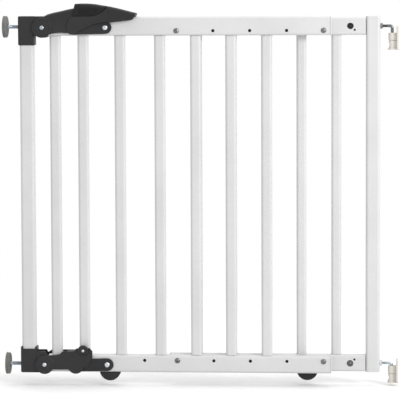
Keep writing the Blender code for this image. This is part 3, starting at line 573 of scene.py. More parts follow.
def build_stile_and_post():
    """Hinge stile with its two plugs, and latch post with a hole for each spindle."""
    low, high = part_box("hinge_stile")
    tools = []
    for level in ("lower", "upper"):
        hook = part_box("hinge_hook_" + level)[1].z - HOOK_RADIUS
        tools.append(rod("hook_hole_" + level, (low.x - 0.005, 0.0, hook), 0.04, BOLT_HOLE, "X"))
    tube("hinge_stile", "Z", POST_CORNER, tools)
    tools = []
    post_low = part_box("latch_post")[0]
    for level in ("lower", "upper"):
        spindle = middle_of("pressure_spindle_" + level)
        tools.append(rod("spindle_hole", (post_low.x - 0.003, MAIN_Y, spindle.z), 0.006,
                         SPINDLE_HOLE, "X"))
    tube("latch_post", "Z", POST_CORNER, tools)
    size = high - low
    middle = ((low.x + high.x) / 2, (low.y + high.y) / 2, 0.0)
    outside = rounded_rectangle(size.x, size.y, POST_CORNER)
    inside = rounded_rectangle(size.x - STEM_INSET, size.y - STEM_INSET, POST_CORNER - STEM_INSET / 2)
    for node, end, outward in (("stile_plug_bottom", low.z, -1), ("stile_plug_top", high.z, 1)):
        head = prism(node + "_fine", [outside], sorted((end + outward * FIT, end + outward * PLUG_HEIGHT)),
                     "Z", 0.0016, middle, 4)
        collar = prism("collar", [outside], sorted((end + outward * 0.0001, end + outward * PLUG_COLLAR)),
                       "Z", 0.0, middle)
        stem = prism("stem", [inside], sorted((end - outward * 0.006, end + outward * 0.003)),
                     "Z", 0.0, middle)
        dress(carve(head, [collar, stem], "UNION"), node, WHITE_PAINT)


# ---------------------------------------------------------------- fasteners

BOLT_HEAD_RADIUS = 0.0054
BOLT_HEAD_HEIGHT = 0.003
SOCKET_RADIUS = 0.0021
SOCKET_DEPTH = 0.0017
BLADE_THICKNESS = 0.26


def cross_recess(name, x, face_y, z, reach, depth, side):
    """Cutter for a cross-shaped drive: two blades into a head that faces -Y or +Y."""
    blades = []
    thin = reach * BLADE_THICKNESS
    for at, (wide, tall) in enumerate(((reach, thin), (thin, reach))):
        outline = shifted(box((-wide, wide), (-tall, tall)), x, z)
        span = sorted((face_y + side * 0.001, face_y - side * depth))
        blades.append(prism(f"{name}_{at}", [outline], span, "Y"))
    return blades


def button_bolt(node, finish=None):
    """Button-head M6 bolt with a hexagon socket and a chamfered end, its head facing -Y."""
    low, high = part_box(node)
    centre = (low + high) / 2
    face = low.y + BOLT_HEAD_HEIGHT
    head = [(-BOLT_HEAD_HEIGHT * math.sin(math.radians(angle)),
             BOLT_HEAD_RADIUS * math.cos(math.radians(angle))) for angle in range(12, 90, 12)]
    length = high.y - face
    profile = [(length, 0.0), (length, BOLT_SHANK - 0.0005), (length - 0.0005, BOLT_SHANK),
               (-FIT, BOLT_SHANK), (-FIT, BOLT_HEAD_RADIUS), *head, (-BOLT_HEAD_HEIGHT, 0.0)]
    item = turned(node + "_fine", profile, "Y", (centre.x, face, centre.z), 40)
    socket = prism("socket", [circle((centre.x, centre.z), SOCKET_RADIUS, 6)],
                   (low.y - 0.001, low.y + SOCKET_DEPTH), "Y")
    dress(carve(item, [socket]), node, finish)


def hex_nut(name, start, thickness, radius, axis):
    """Hexagon nut with chamfered corners, its axis along X or Y."""
    body = prism(name, [circle((0.0, 0.0), radius, 6), circle((0.0, 0.0), NUT_BORE, 24)],
                 (0.0, thickness), axis, 0.0, start)
    flat = radius * math.cos(math.radians(30))
    rise = (radius - flat) * 0.6
    profile = [(thickness + 0.0001, 0.0), (thickness + 0.0001, flat * 0.96),
               (thickness - rise, radius * 1.02), (rise, radius * 1.02), (-0.0001, flat * 0.96),
               (-0.0001, 0.0)]
    return carve(body, [turned("chamfer", profile, axis, start, 40)], "INTERSECT")


def build_bolts_and_nuts():
    for level in ("lower", "upper"):
        for side in ("left", "right"):
            node = f"panel_bolt_{level}_{side}"
            button_bolt(node, finish=DARK_ZINC)
            centre = middle_of(node)
            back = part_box("extension_top_rail")[1].y
            nut = hex_nut(f"panel_nut_{level}_{side}", (centre.x, back + FIT, centre.z), 0.005,
                          NUT_RADIUS, "Y")
            add(nut, "gate_leaf", "zinc_steel")
        node = "link_bolt_" + level
        button_bolt(node)
        centre = middle_of(node)
        nut = hex_nut("link_nut_" + level, (centre.x, MAIN_Y + INNER_LAYER[1] + FIT, centre.z),
                      0.004, NUT_RADIUS, "Y")
        add(nut, "gate_leaf", "zinc_steel")


def pivot_screw(node, finish):
    """Pan-head screw with a cross drive; the front ones face -Y and the back ones +Y."""
    low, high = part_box(node)
    centre = (low + high) / 2
    side = -1 if centre.y < MAIN_Y else 1
    inner, outer = sorted((abs(low.y - MAIN_Y), abs(high.y - MAIN_Y)))
    radius = (high.x - low.x) / 2
    shank = min(0.0025, radius * 0.55)
    rim = outer - 0.0018 * radius / 0.0042
    head = [(rim + (outer - rim) * math.sin(math.radians(angle)),
             radius * math.cos(math.radians(angle))) for angle in range(75, -1, -15)]
    profile = [(outer, 0.0)] + head + [(rim, shank), (inner, shank), (inner, 0.0)]
    item = turned(node + "_fine", profile, "-Y" if side < 0 else "Y", (centre.x, MAIN_Y, centre.z), 32)
    drive = cross_recess("drive", centre.x, MAIN_Y + side * outer, centre.z, radius * 0.52,
                         (outer - rim) * 0.8, side)
    dress(carve(item, drive), node, finish)


HOOK_BEND = 0.0045
HOOK_PITCH = 0.001
LOCK_NUT_RADIUS = 0.0062


def build_hooks():
    """Threaded hinge hooks with their lock nuts and the dowels that they screw into; the upper hook, nut
    and dowel get darker finishes as painted shade.
    """
    for level in ("lower", "upper"):
        node = "hinge_hook_" + level
        low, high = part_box(node)
        z, bend_x = high.z - HOOK_RADIUS, SWING_X - HOOK_BEND
        path = straight((low.x, 0.0, z), (bend_x, 0.0, z), 0.00013)
        path += [(x, 0.0, height) for x, height in arc((bend_x, z - HOOK_BEND), HOOK_BEND, 90, 0, 10)]
        path += straight((SWING_X, 0.0, z - HOOK_BEND - 0.0005), (SWING_X, 0.0, low.z), 0.003)
        path.append((SWING_X, 0.0, low.z))
        item = threaded_rod(node + "_fine", path, HOOK_RADIUS, HOOK_PITCH,
                            (0.0, bend_x - low.x - 0.004), 20)
        # Painted shade: the upper hook gets dark zinc in place of the lower one's blue zinc.
        dress(item, node, BLUE_ZINC if level == "lower" else DARK_ZINC)
        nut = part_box("hook_lock_nut_" + level)
        item = hex_nut(f"hook_lock_nut_{level}_fine", (nut[0].x, 0.0, z), nut[1].x - nut[0].x,
                       LOCK_NUT_RADIUS, "X")
        # Painted shade: the upper lock nut gets dark zinc in place of the lower one's bright zinc.
        dress(item, "hook_lock_nut_" + level, ZINC if level == "lower" else DARK_ZINC)
        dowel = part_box("hook_dowel_" + level)
        centre = (dowel[0] + dowel[1]) / 2
        reach = dowel[1].y - dowel[0].y
        profile = [(reach, 0.0), (reach, 0.0056), (reach - 0.0006, 0.0064), (0.0006, 0.0064),
                   (0.0, 0.0059), (0.0, 0.0044), (0.0014, 0.0037), (0.0014, 0.0030),
                   (0.0005, 0.0024), (0.0001, 0.0012), (0.0, 0.0)]
        item = turned(f"hook_dowel_{level}_fine", profile, "Y", (centre.x, dowel[0].y, centre.z), 36)
        bore = rod("bore", (centre.x - 0.01, 0.0, centre.z), 0.02, HOOK_RADIUS + FIT, "X")
        item = carve(item, [bore])
        # Painted shade: the upper dowel is drawn in black plastic, darker than the lower one's dark zinc.
        dress(item, "hook_dowel_" + level, DARK_ZINC if level == "lower" else BLACK_PLASTIC)


# ---------------------------------------------------------------- wall brackets

PLATE_THICKNESS = 0.004
# The blocks of a bracket: nose radius, root in the plate, span up from the plate's middle, edge
BRACKET_BLOCKS = ((0.0075, 0.0010, (-0.0040, 0.0105), 0.0008), (0.0057, 0.0014, (-0.0065, -0.0035), 0.0),
                  (0.0068, 0.0018, (-0.0205, -0.0055), 0.0006),
                  (0.0085, 0.0022, (-0.0234, -0.0203), 0.0008))
SCREW_HEIGHTS = (0.018, -0.0135)
SCREW_SEATS = (0.0036, 0.0114)
# Screw holes as turned profiles from the wall: the upper one countersunk, the lower one sunk deep
UPPER_SCREW_HOLE = [(0.012, 0.0), (0.012, 0.0047), (0.0040, 0.0047), (0.0014, 0.0023),
                    (-0.01, 0.0023), (-0.01, 0.0)]
LOWER_SCREW_HOLE = [(0.03, 0.0), (0.03, 0.0046), (0.009, 0.0046), (0.009, 0.0023),
                    (-0.01, 0.0023), (-0.01, 0.0)]


def plan(radius, root):
    """Outline in plan of a block with a round nose about the swing axis, rooted in the plate."""
    return arc((SWING_X, 0.0), radius, 90, 270, 24) + [(-root, -radius), (-root, radius)]


def build_bracket(node):
    """Wall bracket: a plate with a stepped block that holds the hook's pin, and its two screws."""
    low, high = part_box(node)
    middle = (low.z + high.z) / 2
    half_depth, half_height = (high.y - low.y) / 2, (high.z - low.z) / 2
    origin = (0.0, 0.0, middle)
    plate = prism(node + "_fine", [rounded_rectangle(2 * half_depth, 2 * half_height, 0.003)],
                  (-PLATE_THICKNESS, 0.0), "X", 0.0007, origin)
    pieces = [prism("block", [plan(radius, root)], span, "Z", bevel, origin)
              for radius, root, span, bevel in BRACKET_BLOCKS]
    item = carve(plate, pieces, "UNION")
    heights = [middle + height for height in SCREW_HEIGHTS]
    upper = turned("upper_hole", UPPER_SCREW_HOLE, "-X", (0.0, 0.0, heights[0]), 28)
    lower = turned("lower_hole", LOWER_SCREW_HOLE, "-X", (0.0, 0.0, heights[1]), 28)
    socket = rod("socket", (SWING_X, 0.0, middle - 0.0045), 0.05, HOOK_RADIUS + FIT, "Z")
    dress(carve(item, [socket, lower, upper]), node)
    for at, (height, seat) in enumerate(zip(heights, SCREW_SEATS)):
        profile = [(seat, 0.0), (seat, 0.0040), (seat - 0.0004, 0.0041), (seat - 0.0022, 0.0019),
                   (0.0, 0.0019), (0.0, 0.0)]
        item = turned(f"{node}_screw_{at + 1}", profile, "-X", (-0.00005, 0.0, height), 28)
        blades = []
        for wide, tall in ((0.0022, 0.0006), (0.0006, 0.0022)):
            blades.append(prism("blade", [shifted(box((-wide, wide), (-tall, tall)), 0.0, height)],
                                (-seat - 0.001, -seat + 0.0014), "X"))
        add(carve(item, blades), "wall_side", "zinc_steel")


# ---------------------------------------------------------------- floor glides

GLIDE_RADIUS = 0.0213
GROOVE_RADIUS = 0.0005
PEG_RADIUS = 0.004


def build_glide(node):
    """Segment of a disc under a rail, grooved round its edge, with a peg into the rail."""
    low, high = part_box(node)
    rail = "main_bottom_rail" if (low.y + high.y) / 2 < -0.01 else "extension_bottom_rail"
    rail_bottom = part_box(rail)[0].z
    x, y, centre = (low.x + high.x) / 2, (low.y + high.y) / 2, low.z + GLIDE_RADIUS
    top = rail_bottom - FIT
    angle = math.degrees(math.asin((centre - top) / GLIDE_RADIUS))
    disc = prism(node + "_fine", [arc((x, centre), GLIDE_RADIUS, 180 + angle, 360 - angle, 40)],
                 (low.y, high.y), "Y", 0.0011)
    peg = rod("peg", (x, y, top - 0.004), 0.009, PEG_RADIUS, "Z")
    item = carve(disc, [peg], "UNION")
    grooves = []
    for step in range(-4, 5):
        heading = math.radians(270 + 15 * step)
        spot_x, spot_z = x + GLIDE_RADIUS * math.cos(heading), centre + GLIDE_RADIUS * math.sin(heading)
        grooves.append(rod("groove", (spot_x, low.y - 0.002, spot_z), high.y - low.y + 0.004,
                           GROOVE_RADIUS, "Y", 10))
    dress(carve(item, grooves), node)


# ---------------------------------------------------------------- latch: links and fittings

def build_links():
    """Two flat links at each level, with a shallow recess in their outer faces."""
    for level, height in (("upper", UPPER_Z), ("lower", LOWER_Z)):
        knee, pivot = (KNEE_X, height - KNEE_DROP), (LEAF_PIVOT_X, height)
        for side, sign in (("front", -1), ("back", 1)):
            node = f"{level}_link_{side}"
            span = sorted(MAIN_Y + sign * reach for reach in INNER_LAYER)
            plate = prism(node + "_fine", [stadium(knee, pivot, LINK_HALF_WIDTH),
                                           circle(knee, STUD_RADIUS + FIT),
                                           circle(pivot, BOLT_HOLE)], span, "Y", 0.0007)
            recess = stadium((knee[0] + 0.020, knee[1] + 0.0004), (pivot[0] - 0.0155, pivot[1]), 0.0085)
            face = sorted((MAIN_Y + sign * (INNER_LAYER[1] - 0.0005), MAIN_Y + sign * 0.02))
            pocket = prism("pocket", [recess], face, "Y")
            dress(carve(plate, [pocket]), node)


def fitting(node, pivot_z, ear_top, ear_bottom, pocket_span, notch):
    """Sleeve on a post end with two ears for the pivot; the spindle screws into its side."""
    low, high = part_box(node)
    post = middle_of("latch_post")
    width = 2 * (post.x - low.x)
    shell = prism(node + "_fine", [rounded_rectangle(width, FITTING_DEPTH, FITTING_CORNER)],
                  (low.z, high.z), "Z", FITTING_EDGE, (post.x, MAIN_Y, 0.0), 5)
    root = post.x + width / 2 - 0.002
    ears = []
    for sign in (-1, 1):
        outline = ([(root, ear_bottom), (POST_X - 0.004, ear_bottom)]
                   + arc((POST_X, pivot_z), EAR_RADIUS, -75, 40, 24)
                   + [(POST_X + 0.0030, ear_top - 0.004), (POST_X + 0.0012, ear_top), (root, ear_top)])
        span = sorted(MAIN_Y + sign * reach for reach in INNER_LAYER)
        ears.append(prism("ear", [outline], span, "Y", 0.0006))
    item = carve(shell, ears, "UNION")
    post_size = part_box("latch_post")[1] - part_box("latch_post")[0]
    inside = rounded_rectangle(post_size.x + 2 * FIT, post_size.y + 2 * FIT, POST_CORNER)
    pocket = prism("pocket", [inside], pocket_span, "Z", 0.0, (post.x, MAIN_Y, 0.0))
    spindle = middle_of("pressure_spindle_" + ("upper" if node == "top_fitting" else "lower"))
    tools = [pocket, hole_through("pivot_bore", POST_X, MAIN_Y, pivot_z, PIVOT_BORE, PIVOT_REACH),
             rod("spindle_hole", (low.x - 0.004, MAIN_Y, spindle.z), 0.024, SPINDLE_HOLE, "X")]
    if notch:
        tools.append(prism("notch", [rounded_rectangle(width - 0.0052, 0.012, 0.0015, 5,
                                                       (post.x, high.z + 0.0012))],
                           (MAIN_Y - 0.03, MAIN_Y + 0.03), "Y"))
    dress(carve(item, tools), node)


def build_fittings():
    top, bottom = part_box("top_fitting"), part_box("bottom_fitting")
    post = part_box("latch_post")
    fitting("top_fitting", UPPER_Z, top[1].z - 0.0004, UPPER_Z - EAR_RADIUS,
            (top[0].z - 0.01, post[1].z + FIT), False)
    fitting("bottom_fitting", LOWER_Z, 0.040, bottom[0].z + 0.0004,
            (post[0].z - FIT, bottom[1].z + 0.01), True)


# ---------------------------------------------------------------- latch: handle

ARM_TOP = [(0.140, 0.0350), (0.125, 0.0380), (0.100, 0.0395), (0.075, 0.0393), (0.0592, 0.0378),
           (0.0374, 0.0330), (0.0215, 0.0296), (0.0096, 0.0263)]
ARM_BOTTOM = [(0.0175, -0.0128), (0.0260, -0.0108), (0.0374, -0.0102), (0.0470, -0.0108)]
ARM_RIGHT = [(0.077, -0.0035), (0.089, 0.0030), (0.103, 0.0080), (0.125, 0.0125), (0.140, 0.0140)]
GRIP_LOW = [(0.062, -0.0135), (0.0682, -0.0095), (0.077, -0.0058), (0.089, 0.0004),
            (0.103, 0.0058), (0.117, 0.0092), (0.126, 0.0103), (0.137, 0.0100), (0.150, 0.0114),
            (0.166, 0.0130), (0.178, 0.0145), (0.1824, 0.0168), (0.1868, 0.0240), (0.1876, 0.0286)]
GRIP_TOP = [(0.1725, 0.0324), (0.1566, 0.0366), (0.1440, 0.0396), (0.1320, 0.0422)]
GRIP_RECESS = [(0.1300, 0.0394), (0.1240, 0.0340), (0.1160, 0.0280), (0.1060, 0.0238),
               (0.0960, 0.0226)]
GRIP_LEFT = [(0.0600, 0.0226), (0.0550, 0.0180), (0.0510, 0.0110), (0.0493, 0.0035),
             (0.0505, -0.0050), (0.0535, -0.0115), (0.0570, -0.0142)]
SLIDER_LEFT = [(0.0608, 0.0230), (0.0664, 0.0470)]
SLIDER_TOP = [(0.0664, 0.0474), (0.0800, 0.0480), (0.0930, 0.0479), (0.1069, 0.0466),
              (0.1200, 0.0443), (0.1300, 0.0424)]
RIB_SPAN = (0.0790, 0.1240)
RIB_PITCH = 0.0032
RIB_DEPTH = 0.0013
RIB_GROOVES = 12
DIMPLE_RADIUS = 0.0016
ROOF = 0.003                                    # thickness of the arm's and the grip's backs


def cross_plane(outline, half, name, bevel):
    """Outline from the post pivot, extruded evenly to both sides of the main panel's plane."""
    return prism(name, [shifted(outline, POST_X, UPPER_Z)], (MAIN_Y - half, MAIN_Y + half), "Y", bevel)


def hubs(height, knee_height, radius):
    """The pivot discs and the knee studs on both sides of a lever."""
    made = []
    for sign in (-1, 1):
        span = sorted(MAIN_Y + sign * reach for reach in HUB_LAYER)
        made.append(prism("disc", [circle((POST_X, height), radius, 72)], span, "Y", 0.0012))
        start = min(MAIN_Y + sign * reach for reach in STUD_REACH)
        made.append(rod("stud", (KNEE_X, start, knee_height), STUD_REACH[1] - STUD_REACH[0],
                        STUD_RADIUS, "Y", 28))
    return made


def back_line(ridge, left, right):
    """A ridge from left to right, run on straight past both ends, in the model's frame."""
    line = smooth(sorted(ridge), 6)
    rise = (line[1][1] - line[0][1]) / (line[1][0] - line[0][0])
    fall = (line[-1][1] - line[-2][1]) / (line[-1][0] - line[-2][0])
    line = ([(line[0][0] - left, line[0][1] - left * rise)] + line
            + [(line[-1][0] + right, line[-1][1] + right * fall)])
    return [(POST_X + u, UPPER_Z + w - 0.0001) for u, w in line]


def build_arm():
    """Handle arm: two cheeks under a crowned roof, with the hubs and a slot for the slider."""
    knee = (KNEE_X - POST_X, -KNEE_DROP)
    cheek = (arc((0, 0), HUB_RADIUS - CHEEK_INSET, 70, 310, 40) + smooth(ARM_BOTTOM)
             + arc(knee, 0.0115, 235, 330, 10) + smooth(ARM_RIGHT) + smooth(ARM_TOP)
             + [(0.005, 0.0246)])
    body = cross_plane(cheek, ARM_HALF[1], "handle_arm_fine", 0.0012)
    ridge = back_line(ARM_TOP, 0.035, 0.035)
    envelope = crown("envelope", ridge, ARM_HALF[1] + 0.0004, 0.0068, 0.0065, UPPER_Z - 0.05)
    body = carve(body, [envelope], "INTERSECT")
    roof = [(u, w - ROOF) for u, w in smooth(ARM_TOP)]
    hollow = [(0.0096, 0.06), (-0.03, 0.06), (-0.03, -0.03), (0.16, -0.03), (0.16, roof[0][1])] + roof
    body = carve(body, [cross_plane(hollow, ARM_HALF[0], "hollow", 0.0)])
    rib = cross_plane([(0.0660, 0.0260), (0.0680, 0.0260), (0.0680, 0.0360), (0.0660, 0.0360)],
                      0.0055, "rib", 0.0)
    body = carve(body, hubs(UPPER_Z, KNEE_Z, HUB_RADIUS) + [rib], "UNION")
    slot = cross_plane(box((0.0865, 0.1012), (0.030, 0.045)), 0.0046, "slot", 0.0)
    cuts = [slot, hole_through("bore", POST_X, MAIN_Y, UPPER_Z, PIVOT_BORE, PIVOT_REACH)]
    ring = [circle((POST_X, UPPER_Z), radius, 64) for radius in (0.0160, 0.0153)]
    for sign in (-1, 1):
        face = MAIN_Y + sign * HUB_LAYER[1]
        cuts.append(prism("ring", ring, sorted((face - sign * 0.0004, face + sign * 0.001)), "Y"))
    dress(carve(body, cuts), "handle_arm")


def build_grip():
    """Handle grip: a shell over the arm's end, closed at the right, with a dimple in each side."""
    outline = smooth(GRIP_LOW) + smooth(GRIP_TOP) + smooth(GRIP_RECESS) + smooth(GRIP_LEFT)
    body = cross_plane(outline, GRIP_HALF[1], "handle_grip_fine", 0.0018)
    ridge = back_line(GRIP_TOP + [(0.1876, 0.0286)], 0.095, 0.02)
    envelope = crown("envelope", ridge, GRIP_HALF[1] + 0.0003, 0.0075, 0.0052, UPPER_Z - 0.05)
    body = carve(body, [envelope], "INTERSECT")
    roof = [(u, w - ROOF) for u, w in smooth(sorted(GRIP_TOP))]
    hollow = ([(0.03, 0.07), (0.03, -0.04), (0.21, -0.04), (0.21, 0.0225), (0.1845, 0.0225),
               (0.1845, 0.0252)] + roof[::-1] + [(0.1294, roof[0][1]), (0.1294, 0.07)])
    body = carve(body, [cross_plane(hollow, GRIP_HALF[0], "hollow", 0.0)])
    dimples = []
    for sign in (-1, 1):
        start = MAIN_Y + sign * GRIP_HALF[1] - DIMPLE_RADIUS
        dimples.append(rod("dimple", (POST_X + 0.1332, start, UPPER_Z + 0.0315), 2 * DIMPLE_RADIUS,
                           DIMPLE_RADIUS, "Y", 20))
    dress(carve(body, dimples), "handle_grip")


def ribbed_ridge():
    """The slider's back, with finger ribs across it."""
    points = []
    line = back_line(SLIDER_TOP, 0.02, 0.02)
    for x, z in line[:1] + smooth(line[1:-1], 6) + line[-1:]:
        u = x - POST_X
        wave = 0.0
        if RIB_SPAN[0] < u < RIB_SPAN[1]:
            wave = RIB_DEPTH / 2 * (math.cos(2 * math.pi * (u - RIB_SPAN[0]) / RIB_PITCH) - 1)
        points.append((x, z + wave))
    return points


def build_slider():
    """Thumb slider: a ribbed shell on the arm's back, with a tongue through the arm's slot."""
    edge = [(u - 0.0006, w + 0.0004) for u, w in GRIP_RECESS[:-1]]
    side = [(0.0960, 0.0230)] + SLIDER_LEFT + SLIDER_TOP[1:] + smooth(edge)
    body = cross_plane(side, GRIP_HALF[1], "thumb_slider_fine", 0.0010)
    envelope = crown("envelope", ribbed_ridge(), GRIP_HALF[1] + 0.0003, 0.0082, 0.0055, UPPER_Z - 0.01)
    body = carve(body, [envelope], "INTERSECT")
    hollow = cross_plane(box((0.050, 0.150), (0.005, 0.0402)), GRIP_HALF[0], "hollow", 0.0)
    tongue = cross_plane(box((0.0960, 0.1000), (0.0227, 0.0410)), 0.0040, "tongue", 0.0003)
    body = carve(carve(body, [hollow]), [tongue], "UNION")
    grooves = []
    for step in range(RIB_GROOVES):
        u = 0.0760 + step * RIB_PITCH
        bottom = 0.0252 + max(0.0, u - 0.101) * 0.62
        slot = stadium((u, bottom), (u, 0.0372), 0.0009, 8)
        for sign in (-1, 1):
            span = sorted((MAIN_Y + sign * (GRIP_HALF[1] - 0.0011), MAIN_Y + sign * 0.022))
            grooves.append(prism("groove", [shifted(slot, POST_X, UPPER_Z)], span, "Y"))
    dress(carve(body, grooves), "thumb_slider", SLIDER_PLASTIC)


def build_spring():
    low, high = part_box("slider_spring")
    centre = (low + high) / 2
    wire, radius, turns = 0.0005, 0.0032, 7
    steps = 28 * turns
    start, end = low.x + wire, high.x - wire
    curve = bpy.data.curves.new("slider_spring_fine", "CURVE")
    curve.dimensions = "3D"
    curve.bevel_depth = wire
    curve.bevel_resolution = 3
    curve.use_fill_caps = True
    spline = curve.splines.new("POLY")
    spline.points.add(steps)
    for step, point in enumerate(spline.points):
        angle = 2 * math.pi * turns * step / steps
        point.co = (start + (end - start) * step / steps, MAIN_Y + radius * math.cos(angle),
                    centre.z + radius * math.sin(angle), 1.0)
    dress(as_mesh(link_object("slider_spring_fine", curve)), "slider_spring")


# ---------------------------------------------------------------- latch: lower lever and pads

LEVER_LOW = [(0.0175, -0.0096), (0.0300, -0.0098), (0.0460, -0.0096)]
LEVER_FRONT_TOP = [(0.0860, -0.0060), (0.0968, 0.0140), (0.0968, 0.0275), (0.0912, 0.0340),
                   (0.0640, 0.0330), (0.0600, 0.0275), (0.0360, 0.0270), (0.0300, 0.0200)]
LEVER_BACK_TOP = [(0.0860, -0.0060), (0.0920, 0.0140), (0.0900, 0.0185), (0.0640, 0.0190),
                  (0.0600, 0.0258), (0.0400, 0.0258), (0.0110, 0.0256)]
LEDGE_W = 0.0128
LEDGE_STEP = 0.0015
LEDGE_RISE = 0.0030
LOWER_HUB_RADIUS = 0.0190


def build_lever():
    """Lower lever: a front and a back plate joined by a bridge, with a seat for the catch."""
    knee = (KNEE_X - POST_X, -KNEE_DROP)
    low, high = LEVER_LAYER
    start = (arc((0, 0), LOWER_HUB_RADIUS - CHEEK_INSET, 90, 295, 36) + LEVER_LOW
             + arc(knee, 0.0164, 212, 345, 24))
    front = prism("lower_lever_fine", [shifted(start + LEVER_FRONT_TOP, POST_X, LOWER_Z)],
                  (MAIN_Y - high, MAIN_Y - low), "Y", 0.0007)
    back = prism("back", [shifted(start + LEVER_BACK_TOP, POST_X, LOWER_Z)],
                 (MAIN_Y + low, MAIN_Y + high), "Y", 0.0007)
    bridge = prism("bridge", [shifted(box((0.0440, 0.0620), (0.0202, 0.0250)), POST_X, LOWER_Z)],
                   (MAIN_Y - high + 0.0005, MAIN_Y + high - 0.0005), "Y")
    body = carve(front, [back, *hubs(LOWER_Z, LOWER_Z - KNEE_DROP, LOWER_HUB_RADIUS), bridge], "UNION")
    ledge, front_face = LOWER_Z + LEDGE_W, MAIN_Y - high
    profile = [(MAIN_Y - 0.03, ledge), (front_face, ledge), (front_face + LEDGE_STEP, ledge + LEDGE_RISE),
               (front_face + LEDGE_STEP, ledge + 0.04), (MAIN_Y - 0.03, ledge + 0.04)]
    set_back = prism("set_back", [profile], (POST_X + 0.0560, POST_X + 0.110), "X")
    pocket = rod("pocket", (CATCH_X, MAIN_Y - 0.020, CATCH_Z), 0.020 - CATCH_LAYER[0] + FIT,
                 CATCH_RADIUS + 0.0006, "Y", 56)
    bores = [hole_through("bore", POST_X, MAIN_Y, LOWER_Z, PIVOT_BORE, PIVOT_REACH),
             hole_through("catch_bore", CATCH_X, MAIN_Y - 0.016, CATCH_Z, CATCH_BORE, 0.004)]
    dress(carve(body, [set_back, pocket, *bores]), "lower_lever")


def build_catch():
    """Turning catch: a disc with a flat below, a ring cut in its face, and its screw."""
    flat = math.degrees(math.asin(CATCH_FLAT / CATCH_RADIUS))
    low, high = CATCH_LAYER
    item = prism("lock_catch_fine", [arc((CATCH_X, CATCH_Z), CATCH_RADIUS, -flat, 180 + flat, 56),
                                     circle((CATCH_X, CATCH_Z), CATCH_BORE, 24)],
                 (MAIN_Y - high, MAIN_Y - low), "Y", 0.0008, bevel_steps=3)
    ring = prism("ring", [circle((CATCH_X, CATCH_Z), radius, 48) for radius in (0.0074, 0.0066)],
                 (MAIN_Y - high - 0.001, MAIN_Y - high + 0.0005), "Y")
    dress(carve(item, [ring]), "lock_catch")
    pivot_screw("catch_screw", ZINC)


def build_pads():
    """Rubber pads with a rim, and the threaded spindles that carry them."""
    for level in ("lower", "upper"):
        node = "pressure_pad_" + level
        low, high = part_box(node)
        centre = (low + high) / 2
        depth, radius = high.x - low.x, (high.z - low.z) / 2
        profile = [(depth - 0.0075, 0.0), (depth - 0.0075, SPINDLE_HOLE), (depth, SPINDLE_HOLE),
                   (depth, 0.0105), (depth - 0.0009, 0.0118), (depth - 0.0009, radius - 0.0022),
                   (depth - 0.0018, radius - 0.0008), (depth - 0.0035, radius - 0.0002),
                   (depth - 0.0052, radius - 0.0009), (depth - 0.0062, radius - 0.0009),
                   (depth - 0.0078, radius), (0.0014, radius), (0.0004, radius - 0.0005),
                   (0.0, radius - 0.0014), (0.0, 0.0)]
        dress(turned(node + "_fine", profile, "X", (low.x, centre.y, centre.z), 64), node)
        node = "pressure_spindle_" + level
        low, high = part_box(node)
        centre = (low + high) / 2
        radius = (high.z - low.z) / 2
        path = straight((low.x, centre.y, centre.z), (high.x, centre.y, centre.z), 0.00018)
        path.append((high.x, centre.y, centre.z))
        item = threaded_rod(node + "_fine", path, radius, SPINDLE_PITCH, (0.0105, 0.10), 28)
        dress(item, node, BLUE_ZINC)


# ---------------------------------------------------------------- stage, light and camera

CENTRE = (cad_low + cad_high) / 2
FLOOR_GAP = 0.0060
FLOOR_SIDE = (-2.5, 2.5)
FLOOR_DEPTH = (-2.5, 1.2)
KEY_PLACE, KEY_SIZE, KEY_POWER = (2.2, -2.2, 1.7), (1.0, 1.0), 80.0
TOP_PLACE, TOP_TARGET, TOP_SIZE, TOP_POWER = (0.2, 1.9), (0.1, 0.0), (2.4, 1.6), 12.0
CAMERA_PLACE = (-0.136, -4.0, 0.705)
CAMERA_TURN = (90.0 - 3.56, 0.21, 3.71)
CAMERA_LENS = 180.3
CAMERA_SHIFT_Y = -0.14
CAMERA_SENSOR = 36.0
CAMERA_REACH = 50.0


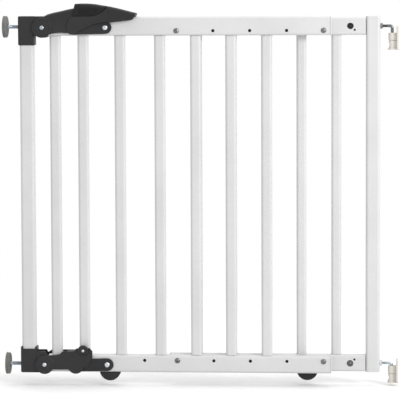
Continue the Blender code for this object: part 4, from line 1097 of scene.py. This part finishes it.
def build_stage():
    """Plain pale floor just under the lowest of the CAD model."""
    floor_z = cad_low.z - FLOOR_GAP
    (left, right), (front, back) = FLOOR_SIDE, FLOOR_DEPTH
    corners = [(CENTRE.x + x, y, floor_z)
               for x, y in ((left, front), (right, front), (right, back), (left, back))]
    mesh = bpy.data.meshes.new("studio_floor")
    mesh.from_pydata(corners, [], [(0, 1, 2, 3)])
    mesh.materials.append(surface("studio_paper", (0.78, 0.78, 0.78), (0.82, 0.82, 0.82),
                                  (0.85, 0.95), 0.02, 0.00005, specular=0.1))
    link_object("studio_floor", mesh)


def area_light(name, place, target, size, power):
    data = bpy.data.lights.new(name, "AREA")
    data.shape = "RECTANGLE"
    data.size, data.size_y = size
    data.energy = power
    item = link_object(name, data)
    item.location = place
    heading = Vector(target) - Vector(place)
    item.rotation_mode = "QUATERNION"
    item.rotation_quaternion = heading.to_track_quat("-Z", "Y")


def build_light():
    """White surroundings, a key light from the right and a soft light above."""
    world = bpy.data.worlds.new("studio_world")
    world.use_nodes = True
    background = world.node_tree.nodes["Background"]
    background.inputs["Color"].default_value = (1.0, 1.0, 1.0, 1.0)
    background.inputs["Strength"].default_value = 1.0
    bpy.context.scene.world = world
    area_light("key_light", KEY_PLACE, CENTRE, KEY_SIZE, KEY_POWER)
    area_light("top_light", (CENTRE.x, *TOP_PLACE), (CENTRE.x, *TOP_TARGET), TOP_SIZE, TOP_POWER)


def build_camera():
    data = bpy.data.cameras.new("camera")
    data.sensor_width = CAMERA_SENSOR
    data.lens = CAMERA_LENS
    data.shift_y = CAMERA_SHIFT_Y
    data.clip_end = CAMERA_REACH
    item = link_object("camera", data)
    item.location = CAMERA_PLACE
    item.rotation_euler = [math.radians(angle) for angle in CAMERA_TURN]
    bpy.context.scene.camera = item


# ---------------------------------------------------------------- the gate

build_rails()
build_bars()
build_stile_and_post()
build_bolts_and_nuts()
build_hooks()
build_bracket("wall_bracket_lower")
build_bracket("wall_bracket_upper")
build_glide("floor_glide_left")
build_glide("floor_glide_right")
build_links()
build_fittings()
build_arm()
build_grip()
build_slider()
build_spring()
build_lever()
build_catch()
build_pads()
for level, finish in (("upper", BLUE_ZINC), ("lower", ZINC)):
    for side in ("front", "back"):
        pivot_screw(f"{level}_pivot_screw_{side}", finish)
build_stage()
build_light()
build_camera()
bpy.context.scene.view_settings.view_transform = "Standard"
